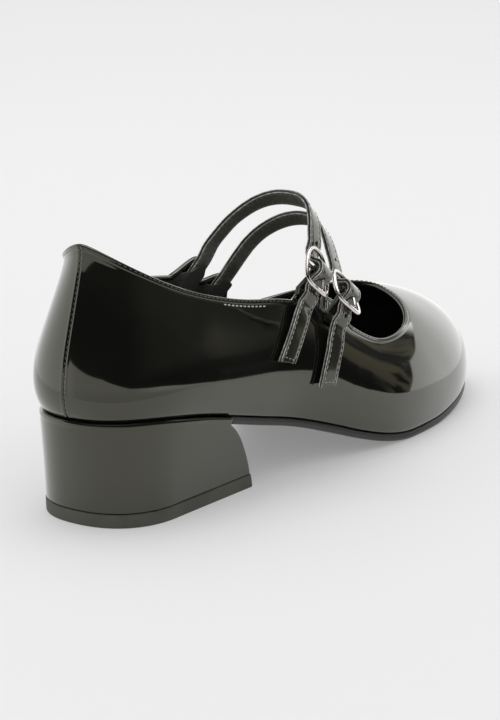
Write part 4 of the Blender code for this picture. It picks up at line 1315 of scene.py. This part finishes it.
def heel_outline(share, base_z, front, inset=0.0, drop=0.0):
    """Ring round the heel at a share of its height, with rounded breast corners."""
    turn = np.linspace(0, np.pi / 2, HEEL_ROWS)
    rear = HEEL_ROUND_SHARE * (1 - np.cos(turn))
    corner = np.sin(np.linspace(0, np.pi / 2, HEEL_CORNER_ROWS)[1:])
    shares = np.concatenate([
        rear,
        np.linspace(rear[-1], HEEL_CORNER_SHARE, HEEL_ROWS)[1:],
        HEEL_CORNER_SHARE + (1 - HEEL_CORNER_SHARE) * corner,
    ])
    low_y = HEEL_BACK + (front - HEEL_BACK) * shares
    reach = np.clip(1 - (low_y - HEEL_BACK) / HEEL_HALF_WIDTH, 0, 1)
    low_x = HEEL_HALF_WIDTH * (1 - reach ** HEEL_SQUARENESS) ** (1 / HEEL_SQUARENESS)
    top_back = feather_side(1, -HEEL_TOP_OUTSET)[0].min()
    top_y = top_back + (front - top_back) * shares
    blend = share ** HEEL_FLARE
    y = low_y + (top_y - low_y) * blend
    past = np.clip((y - y[-1]) / HEEL_CORNER_ROUND + 1, 0, 1)
    rounding = HEEL_CORNER_ROUND * (1 - np.sqrt(1 - past ** 2))
    line_y = np.concatenate([y, np.full(len(BREAST_SHARES), y[-1])])
    z = base_z + (bottom_height(line_y) - GAP - base_z) * share - drop
    sides = []
    for sign in (1, -1):
        top_x = np.abs(feather_x(sign, -HEEL_TOP_OUTSET, top_y))
        top_x[0] = 0.0
        x = low_x + (top_x - low_x) * blend - rounding
        x[0] = 0.05
        sides.append(sign * np.concatenate([x, x[-1] * BREAST_SHARES]))
    ring = level_ring(*sides, line_y, z)
    if inset:
        middle = ring[:, :2].mean(axis=0)
        reach = ring[:, :2] - middle
        length = np.linalg.norm(reach, axis=1)
        ring[:, :2] = middle + reach * (1 - inset / np.maximum(length, 3.0))[:, None]
    return ring


def build_heel(settings, leather):
    """Leather-covered block with soft upper and lower edges, and the rubber top piece."""
    rings = []
    for share, inset, drop in HEEL_COURSE:
        front = float(monotone_curve(HEEL_BREAST, share))
        rings.append(heel_outline(share, TOP_PIECE_THICK + GAP, front, inset, drop))
    piece = new_piece("heel_cover", closed_slab(rings), leather, 40.0)
    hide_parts("heel_block")
    rings = []
    for inset, z in LIFT_COURSE:
        front = HEEL_FRONT + (HEEL_TOP_FRONT - HEEL_FRONT) * z / TOP_PIECE_THICK
        rings.append(heel_outline(0.0, 0.0, front, inset))
        rings[-1][:, 2] = z
    rubber = rubber_finish("top piece rubber", settings.rubber_colour, roughness=0.52)
    piece = new_piece("heel_top_lift", closed_slab(rings), rubber, 40.0)
    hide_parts("heel_top_piece")


# ---------------------------------------------------------------- straps and buckles

Strip = namedtuple("Strip", "path width out count slant")


def strap_strip(strap, sample):
    """A strap's course with its width and outward directions, run on past its slanted end."""
    path, width = strap_path(strap, sample, STRAP_STATION)
    count = len(path)
    beyond = np.arange(1, STRAP_RUN_ON + 1)[:, None] * (path[-1] - path[-2])
    path = np.vstack([path, path[-1] + beyond])
    width = np.vstack([width, np.repeat(width[-1:], STRAP_RUN_ON, axis=0)])
    tangents = unit(np.gradient(path, axis=0))
    for _ in range(6):
        width = width - tangents * np.sum(width * tangents, axis=1, keepdims=True)
        inner = (width[:-2] + width[1:-1] * 2 + width[2:]) / 4
        width = unit(np.vstack([width[:1], inner, width[-1:]]))
    return Strip(path, width, unit(np.cross(tangents, width)), count, strap["end_slant"])


def prong_line(axes):
    """The prong's straight part, from its curl round the bar to its tip on the frame."""
    leave = (PRONG_CURL * math.sin(PRONG_LEAVES), PRONG_CURL * math.cos(PRONG_LEAVES))
    tip = (FRAME_BOTTOM + PRONG_PAST, WIRE_RADIUS + GAP + PRONG_RADIUS)
    return [buckle_point(axes, 0.0, t, n) for t, n in (leave, PRONG_BEND, tip)]


def strip_point(strip, station, w, n):
    """Points at fractional stations of a strap, w across and n out of its middle plane."""
    at, w, n = np.broadcast_arrays(np.asarray(station, float), w, n)
    near_end = np.clip((at - strip.count) / SLANT_REACH + 1, 0, 1) ** 2
    at = at - strip.slant * w / STRAP_STATION * near_end
    index = np.arange(len(strip.path))
    centre, width, out = (
        rows_at(at, index, values) for values in (strip.path, strip.width, strip.out)
    )
    return centre + w[:, None] * width + n[:, None] * out


def nearest_station(strip, start, end):
    """Station of the strap that a line from start to end passes closest to."""
    points = start + (end - start) * np.linspace(0, 1, 60)[:, None]
    gaps = np.linalg.norm(strip.path[:, None, :] - points[None, :, :], axis=2)
    return int(np.argmin(gaps.min(axis=1)))


def layer_section(half, low, high, rounding, crown, groove):
    """Closed section of a strap layer as (w, n) rows, and where its two holed faces start."""
    centre = [share * HOLE_REACH for share in (-1.0, -0.5, 0.0, 0.5, 1.0)]
    row = half - STRAP_STITCH_INSET
    corner = [
        (half - rounding * (1 - math.cos(a)), high - rounding * (1 - math.sin(a)))
        for a in np.radians((75.0, 50.0, 25.0, 0.0))
    ]
    right = [(row + aside, None) for aside in STRAP_STITCH_ASIDE]
    right += [*corner, (half, low + 0.1)]
    left = [(-w, n) for w, n in reversed(right)]
    section = []
    for w, n in left + [(w, None) for w in centre] + right:
        if n is None:
            sunk = groove * math.exp(-(((abs(w) - row) / 0.2) ** 2))
            n = high - crown * (w / half) ** 2 - sunk
        section.append((w, n))
    bottom = [(half - 0.12, low)] + [(w, low) for w in reversed(centre)] + [(0.12 - half, low)]
    return section + bottom, len(left), len(section) + 1


def bridge(ring, other):
    """Quads between two loops of as many points."""
    return [
        [ring[a - 1], ring[a], other[a], other[a - 1]] for a in [*range(1, len(ring)), 0]
    ]


def strap_layer(strip, section, top_start, bottom_start, holes, radius, first, last):
    """Closed strap layer with real holes, as points and faces."""
    profile = np.array(section)
    size = len(profile)
    stations = [float(first), first + 0.35, *map(float, range(first + 1, last))]
    stations += [last - 0.35, float(last)]
    middle = profile.mean(axis=0)
    reach = profile - middle
    kept = 1 - STRAP_END_INSET / np.maximum(np.abs(reach), 1e-6)
    shrunk = middle + reach * np.maximum(kept, 0.0)
    points = []
    for station in stations:
        w, n = (shrunk if station in (first, last) else profile).T
        points += list(strip_point(strip, station, w, n))
    cells = int(round(HOLE_REACH / STRAP_STATION))
    bases = [stations.index(float(hole)) for hole in holes]
    gone = {
        (base + i, start + j)
        for base in bases for i in range(-cells, cells)
        for start in (top_start, bottom_start) for j in range(4)
    }
    whole = tube_faces(len(stations), size)
    faces = [face for k, face in enumerate(whole) if divmod(k, size) not in gone]
    around = [(-cells, j) for j in range(4)] + [(i, 4) for i in range(-cells, cells)]
    around += [(cells, j) for j in range(4, 0, -1)] + [(i, 0) for i in range(cells, -cells, -1)]
    flat = np.array([(i * STRAP_STATION, (j - 2) * HOLE_REACH / 2) for i, j in around])
    circle = unit(flat)
    for hole, base in zip(holes, bases):
        mouths = []
        for start, flip in ((top_start, 1), (bottom_start, -1)):
            ring = [(base + i) * size + start + (j if flip > 0 else 4 - j) for i, j in around]
            for wider, blend, sink in HOLE_RINGS:
                spot = flat * (1 - blend) + circle * (radius + wider) * blend
                height = profile[start + 2][1] - flip * sink
                placed = strip_point(strip, hole + spot[:, 0] / STRAP_STATION, spot[:, 1], height)
                fresh = list(range(len(points), len(points) + len(placed)))
                points += list(placed)
                faces += bridge(ring, fresh)
                ring = fresh
            mouths.append(ring)
        faces += bridge(*mouths)
    return np.array(points), faces


def build_strap(label, strap, sample, settings, finishes):
    """Patent strap with its lining, edge stitching and punched holes."""
    patent, lining, thread, highlight_edging = finishes
    strip = strap_strip(strap, sample)
    count = strip.count
    pitch = int(round(HOLE_PITCH[label] / STRAP_STATION))
    prong = nearest_station(strip, *prong_line(buckle_axes(strap))[:2])
    holes = [prong + k * pitch for k in HOLE_STEPS]
    half = STRAP_WIDTH / 2
    top = STRAP_THICK / 2
    section = layer_section(
        half, STRAP_PATENT_LOW, top, rounding=STRAP_EDGE_ROUND, crown=0.10, groove=0.07
    )
    layer = strap_layer(strip, *section, holes, HOLE_RADIUS, 0, count - 1)
    piece = new_piece(f"strap_{label}_patent", layer, patent, 40.0)
    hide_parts("strap_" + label)
    section = layer_section(
        half - 0.22, STRAP_PATENT_LOW - 0.04, -top, rounding=-0.18, crown=0.0, groove=0.0
    )
    layer = strap_layer(strip, *section, holes, HOLE_RADIUS + 0.02, 1, count - 2)
    new_piece(f"strap_{label}_lining", layer, lining, 40.0)
    row = half - STRAP_STITCH_INSET
    stitch = settings.stitch_pitch / MM
    last = count - STRAP_CROSS_ROW
    stations = np.arange(STRAP_CROSS_ROW + 1, last)
    across = np.linspace(-row, row, 12)
    parts = []
    for height, flip, radius in STRAP_STITCH_ROWS:
        for w in (-row, row):
            path = strip_point(strip, stations, w, height)
            tilt = flip * strip.out[stations]
            parts.append(stitch_row(path, tilt, stitch, stitch * STRAP_STITCH, radius))
        path = strip_point(strip, last, across, height)
        tilt = np.tile(flip * strip.out[last], (len(across), 1))
        parts.append(stitch_row(path, tilt, stitch * CROSS_PITCH, stitch * CROSS_STITCH, radius))
    new_piece(f"strap_{label}_stitches", gather(parts), thread)
    # Light grey beads on both edges of both layers: painted highlight lines along the rolled
    # edges.
    width, out = strip.width[:count], strip.out[:count]
    parts = [
        sweep(strip_point(strip, np.arange(count), w, height), width, out, *HIGHLIGHT_BEAD_SIZE, count=8)
        for w in (HIGHLIGHT_BEAD_INSET - half, half - HIGHLIGHT_BEAD_INSET) for height in HIGHLIGHT_BEAD_HEIGHTS
    ]
    new_piece(f"strap_{label}_edge_highlights", gather(parts), highlight_edging)


def build_buckle(label, strap, steel):
    """Oval frame with a flattened foot, its centre bar, and the curled prong."""
    axes = buckle_axes(strap)
    _, across, down, out = axes
    shift = strap["frame_shift"]
    flat = frame_outline(150)
    path = np.array([buckle_point(axes, w + shift, t, 0.0) for w, t in flat])
    runs = unit(np.roll(path, -1, axis=0) - np.roll(path, 1, axis=0))
    foot = smooth(np.clip((flat[:, 1] - FRAME_BOTTOM + FOOT_HIGH) / FOOT_FADE, 0, 1))
    wide = WIRE_RADIUS * (WIRE_WIDE + FOOT_WIDER * foot)
    tall = WIRE_RADIUS * (WIRE_TALL - FOOT_FLATTER * foot)
    side = unit(np.cross(runs, out))
    frame_wire = sweep(path, side, out, wide, tall, power=2.6, count=16, closed=True)
    reach = float(np.interp(0.0, *np.array(FRAME_OUTLINE).T[::-1]))
    ends = np.linspace(shift - reach, shift + reach, 9)
    rod = np.array([buckle_point(axes, w, 0.0, 0.0) for w in ends])
    shape = gather([frame_wire, sweep(rod, down, out, BAR_RADIUS, BAR_RADIUS)])
    piece = new_piece(f"buckle_frame_{label}_wire", shape, steel)
    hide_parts("buckle_frame_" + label)
    angles = np.radians(np.linspace(*PRONG_CURL_TURN, 30))
    circle = PRONG_CURL * np.column_stack([np.sin(angles), np.cos(angles)])
    curl = [buckle_point(axes, 0.0, *row) for row in circle]
    path = open_spline(curl + prong_line(axes), 0.25)
    run = run_lengths(path)
    tip = np.clip((run[-1] - run) / 0.5, 0.0, 1.0)
    size = PRONG_RADIUS * np.sqrt(np.clip(1 - (1 - tip) ** 2, 0.04, 1))
    size *= np.clip(run / 0.3, 0.3, 1.0)
    ups = unit(np.cross(unit(np.gradient(path, axis=0)), across))
    shape = sweep(path, across, ups, size * PRONG_WIDE, size * PRONG_TALL, power=2.3, count=12)
    piece = new_piece(f"buckle_prong_{label}_wire", shape, steel)
    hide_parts("buckle_prong_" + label)


def dress_loops(leather):
    for label in STRAPS:
        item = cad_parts["loop_" + label]
        item.data.materials.clear()
        item.data.materials.append(leather)


# ---------------------------------------------------------------- the stage

# Where the camera stands and aims, in metres, its roll, and its focal length in millimetres.
CAMERA_PLACE = (0.60890, -0.81506, 0.30732)
CAMERA_AIM = (0.08240, -0.12362, 0.07343)
CAMERA_ROLL = math.radians(-0.85)
LENS = 139.0

# Light of the surround. Headings go round the shoe in degrees, from behind its heel over its
# outer side to the toe at 180; heights are degrees above the floor.
BACKDROP = 0.86
DARK_FROM = -30.0
REACH_SPAN = 30.0
PATCH_TONE = (1.0, 0.92, 0.68)
TOP_LIGHT_PLACE = (-0.35, 0.25, 1.5)
TOP_LIGHT_SIZE = 1.1

# The floor is a disc under the shoe, which the shoe mirrors, and a ring out to the far edge
# that only the camera sees. Radii in metres, from a middle that is moved off the shoe's.
FLOOR_NEAR = 0.25
FLOOR_FAR = 13.0
FLOOR_SHIFT = (-0.09, 0.0, 0.0)
FLOOR_MIDDLE = 0.002
FLOOR_SIDES = 96

# How high the bright floor and its back edge reach: rows of heading and height.
BRIGHT_REACH = (
    (-180.0, 20.0), (-60.0, 20.0), (-36.0, 10.0), (-30.0, 7.0), (-6.0, 5.2), (18.0, 4.4),
    (40.0, 0.0), (66.0, -6.5), (89.0, -8.0), (105.0, -8.5), (118.0, -10.0), (134.0, -13.0),
    (146.0, -10.0), (156.0, 8.0), (180.0, 20.0),
)


def camera_axes(place, aim, roll):
    back = (Vector(place) - Vector(aim)).normalized()
    right = Vector((0.0, 0.0, 1.0)).cross(back).normalized()
    up = back.cross(right)
    turned = right * math.cos(roll) + up * math.sin(roll)
    raised = up * math.cos(roll) - right * math.sin(roll)
    matrix = Matrix((turned, raised, back)).transposed().to_4x4()
    matrix.translation = Vector(place)
    return matrix


def add_item(name, data):
    item = bpy.data.objects.new(name, data)
    bpy.context.scene.collection.objects.link(item)
    return item


def place_camera():
    data = bpy.data.cameras.new("camera")
    data.lens = LENS
    data.sensor_width = 36.0
    data.clip_start = 0.05
    data.clip_end = 60.0
    camera = add_item("camera", data)
    camera.matrix_world = camera_axes(CAMERA_PLACE, CAMERA_AIM, CAMERA_ROLL)
    bpy.context.scene.camera = camera


def disc(name, inner, outer, rings, material):
    """Flat ring on the floor, or a whole disc if it starts at the middle."""
    angles = np.linspace(0, 2 * np.pi, FLOOR_SIDES, endpoint=False)
    circle = np.column_stack([np.cos(angles), np.sin(angles), np.zeros(FLOOR_SIDES)])
    radii = np.geomspace(max(inner, FLOOR_MIDDLE), outer, rings)
    faces = lattice_faces(rings, FLOOR_SIDES, False, True)
    if inner < FLOOR_MIDDLE:
        faces.append(list(range(FLOOR_SIDES))[::-1])
    mesh = bpy.data.meshes.new(name)
    mesh.from_pydata(np.vstack([FLOOR_SHIFT + r * circle for r in radii]).tolist(), [], faces)
    mesh.materials.append(material)
    item = add_item(name, mesh)
    return item


def build_world(settings):
    """Studio surround: a white sweep behind the shoe, a dark room in front, soft top light."""
    world = bpy.data.worlds.new("studio")
    world.use_nodes = True
    bpy.context.scene.world = world
    graph = Graph(world.node_tree)
    place = graph.node("TexCoord")["Generated"]
    parts = graph.node("SeparateXYZ", {}, {"Vector": place})
    azimuth = parts["X"].math("ARCTAN2", parts["Y"] * -1.0)
    heading = azimuth * (180 / math.pi)
    height = parts["Z"].math("ARCSINE") * (180 / math.pi)

    # The floor's far edge comes from a ramp that holds heights from -span to span.
    span = REACH_SPAN
    stops = [(a / 360 + 0.5, (e + span) / (2 * span)) for a, e in BRIGHT_REACH]
    turn = azimuth * (0.5 / math.pi) + 0.5
    ramp = graph.node("ValToRGB", {"stops": stops, "ramp": "LINEAR"}, {"Fac": turn})["Color"]
    below = (ramp * (2 * span) - span - height).step_up(-0.6, 0.6)
    floor = 0.68 + 0.12 * height.step_up(-20.0, -4.0)
    floor = floor + 0.38 * heading.step_up(66.0, 110.0) * height.step_up(-16.0, -9.0)
    floor = floor + 0.35 * heading.step_up(-20.0, -45.0)

    # The white sweep, which starts behind the shoe and ends past its toe.
    back = (heading + height * 0.8).step_up(DARK_FROM, DARK_FROM - 2.0)
    back = back + heading.step_up(168.0, 179.0)
    back = back + heading.step_up(148.0, 162.0) * height.step_up(24.0, 38.0)
    back = back.math("MINIMUM", 1.0)
    fade = 0.5 * heading.step_up(-45.0, -82.0) + 0.38 * heading.step_up(-82.0, -128.0)
    fade = fade - 0.88 * heading.step_up(-142.0, -172.0)
    sweep_light = 2.6 - 1.6 * height.step_up(4.0, 20.0) * (1.0 - heading.step_up(0.0, 100.0))
    sweep_light = sweep_light * (1.0 - fade)

    # The dark room, with a dim wall beside the shoe, soft patches and light overhead.
    wall_light = heading.step_up(60.0, 115.0) * height.step_up(-2.0, 8.0)
    patches = graph.noise(graph.stretched(place, (1.0, 1.0, 0.7)), 9.0).step_up(0.46, 0.60)
    patches = patches * heading.step_up(134.0, 142.0) * (1.0 - height.step_up(12.0, 26.0))
    room = 0.016 + 0.05 * wall_light * (1.0 - height.step_up(18.0, 44.0)) + 0.24 * patches
    room = room + 0.75 * height.step_up(52.0, 78.0)

    light = below * floor + (1.0 - below) * (back * sweep_light + (1.0 - back) * room)
    rays = graph.node("LightPath")
    eye = rays["Is Camera Ray"]
    dull = rays["Is Diffuse Ray"]
    mirrored = (dull * settings.fill + (1.0 - dull) * light) * settings.surround
    shown = eye * BACKDROP + (1.0 - eye) * mirrored
    warm = patches * (1.0 - eye) * (1.0 - dull) * (1.0 - below) * (1.0 - back)
    tint = graph.mix(warm, tone(1.0), tone(PATCH_TONE))
    background = graph.node("Background", {}, {"Color": tint, "Strength": shown})
    graph.node("OutputWorld", {}, {"Surface": background["Background"]})
    world.cycles.sampling_method = "NONE"


def area_light(name, place, size, power):
    """Soft round light that points at the shoe and isn't seen itself."""
    data = bpy.data.lights.new(name, "AREA")
    data.shape = "DISK"
    data.size = size
    data.energy = power
    item = add_item(name, data)
    item.matrix_world = camera_axes(place, (0.0, 0.0, 0.0), 0.0)
    item.visible_camera = False


def build_stage(settings):
    board = paper_finish("studio board", settings.floor_colour, glow=settings.floor_glow)
    disc("floor_near", 0.0, FLOOR_NEAR, 14, board)
    far = disc("floor_far", FLOOR_NEAR, FLOOR_FAR, 30, board)
    far.visible_glossy = False
    far.visible_diffuse = False
    build_world(settings)
    area_light("top light", TOP_LIGHT_PLACE, TOP_LIGHT_SIZE, settings.top_light)
    place_camera()
    bpy.context.scene.view_settings.view_transform = "Standard"


# ---------------------------------------------------------------- the add-on

def colour(name, description, default):
    return bpy.props.FloatVectorProperty(
        name=name, description=description, subtype="COLOR", size=3, min=0.0, max=1.0,
        default=default,
    )


def amount(name, description, default, least=0.0, **unit_of):
    return bpy.props.FloatProperty(
        name=name, description=description, default=default, min=least, **unit_of
    )


class ShoeSettings(bpy.types.PropertyGroup):
    """Sizes, colours and light of the dressed shoe."""

    patent_colour: colour(
        "Patent colour", "Colour under the clear coat of the patent leather",
        (0.0045, 0.0045, 0.0038),
    )
    strap_colour: colour(
        "Strap colour", "Colour under the clear coat of the straps",
        (0.016, 0.016, 0.013),
    )
    lining_colour: colour("Lining colour", "Colour of the shoe's lining", (0.034, 0.034, 0.029))
    strap_lining_colour: colour(
        "Strap lining colour", "Colour of the straps' insides",
        (0.066, 0.066, 0.052),
    )
    # The thread's light grey is painted highlight on the stitches.
    thread_colour: colour("Thread colour", "Colour of the stitches", (0.50, 0.50, 0.47))
    # Near-white colour of the dashes under the topline: painted highlight.
    painted_highlight_colour: colour(
        "Painted highlight colour", "Colour of the short painted highlight dashes under the topline",
        (0.80, 0.80, 0.78),
    )
    # Light grey of the strap edge beads: painted highlight lines.
    edge_highlight_colour: colour(
        "Edge highlight colour", "Colour of the painted highlight lines on the straps' rolled edges",
        (0.52, 0.52, 0.49),
    )
    steel_colour: colour("Buckle colour", "Reflected colour of the buckles", (0.90, 0.84, 0.83))
    sole_colour: colour("Sole colour", "Colour of the sole", (0.022, 0.021, 0.019))
    rubber_colour: colour(
        "Top piece colour", "Colour of the heel's rubber top piece",
        (0.052, 0.052, 0.041),
    )
    floor_colour: colour("Floor colour", "Colour of the studio floor", (0.66, 0.66, 0.66))
    floor_glow: amount("Floor glow", "Light that comes up through the studio floor", 0.22)
    stitch_pitch: amount(
        "Stitch pitch", "Distance from one stitch to the next", 0.0021, 0.0008, unit="LENGTH"
    )
    surround: amount("Surround", "Brightness of the studio surround", 1.0)
    fill: amount("Fill", "Even light on dull surfaces", 0.83)
    top_light: amount("Top light", "Power of the soft light above the shoe", 5.0, subtype="POWER")


def strap_finishes(settings):
    return (
        patent_finish("strap patent", settings.strap_colour, haze=0.16, grain=14.0),
        grained_finish(
            "strap lining", settings.strap_lining_colour, roughness=0.5, grain=900.0, depth=7.0e-5
        ),
        thread_finish("strap thread", settings.thread_colour),
        edge_highlight_finish("strap edge paint", settings.edge_highlight_colour),
    )


class SHOE_OT_upper(bpy.types.Operator):
    """Makes the upper's leather, its lining and its stitches."""

    bl_idname = "shoe.upper"
    bl_label = "Upper"

    def execute(self, context):
        settings = context.scene.shoe_settings
        outer, normals = build_upper(settings)
        build_topline_stitches(settings, surface_finder(outer, normals))
        return {"FINISHED"}


class SHOE_OT_bottom(bpy.types.Operator):
    """Makes the sole, the insole, the heel cover and the heel's top piece."""

    bl_idname = "shoe.bottom"
    bl_label = "Sole and heel"

    def execute(self, context):
        settings = context.scene.shoe_settings
        build_sole(settings)
        build_insole(settings)
        build_heel(settings, patent_finish("heel patent", settings.patent_colour, haze=0.07))
        return {"FINISHED"}


class SHOE_OT_straps(bpy.types.Operator):
    """Makes both straps and finishes the loops that carry the buckles."""

    bl_idname = "shoe.straps"
    bl_label = "Straps"

    def execute(self, context):
        settings = context.scene.shoe_settings
        sample = wall_sample()
        finishes = strap_finishes(settings)
        for label, strap in STRAPS.items():
            build_strap(label, strap, sample, settings, finishes)
        dress_loops(finishes[0])
        return {"FINISHED"}


class SHOE_OT_buckles(bpy.types.Operator):
    """Makes both buckles."""

    bl_idname = "shoe.buckles"
    bl_label = "Buckles"

    def execute(self, context):
        settings = context.scene.shoe_settings
        steel = steel_finish("plated steel", settings.steel_colour)
        for label, strap in STRAPS.items():
            build_buckle(label, strap, steel)
        return {"FINISHED"}


class SHOE_OT_stage(bpy.types.Operator):
    """Makes the floor, the light and the camera."""

    bl_idname = "shoe.stage"
    bl_label = "Stage"

    def execute(self, context):
        build_stage(context.scene.shoe_settings)
        return {"FINISHED"}


class SHOE_PT_panel(bpy.types.Panel):
    """Lists the shoe's settings and the steps that make it."""

    bl_label = "Shoe"
    bl_space_type = "VIEW_3D"
    bl_region_type = "UI"
    bl_category = "Shoe"

    def draw(self, context):
        settings = context.scene.shoe_settings
        for name in ShoeSettings.__annotations__:
            self.layout.prop(settings, name)
        for step in STEPS:
            self.layout.operator(step.bl_idname)


STEPS = (SHOE_OT_upper, SHOE_OT_bottom, SHOE_OT_straps, SHOE_OT_buckles, SHOE_OT_stage)


def register():
    for kind in (ShoeSettings, *STEPS, SHOE_PT_panel):
        bpy.utils.register_class(kind)
    bpy.types.Scene.shoe_settings = bpy.props.PointerProperty(type=ShoeSettings)


def unregister():
    del bpy.types.Scene.shoe_settings
    for kind in reversed((ShoeSettings, *STEPS, SHOE_PT_panel)):
        bpy.utils.unregister_class(kind)


def main():
    """Makes every piece and the stage."""
    register()
    bpy.ops.shoe.upper()
    bpy.ops.shoe.bottom()
    bpy.ops.shoe.straps()
    bpy.ops.shoe.buckles()
    bpy.ops.shoe.stage()


if __name__ == "__main__":
    main()
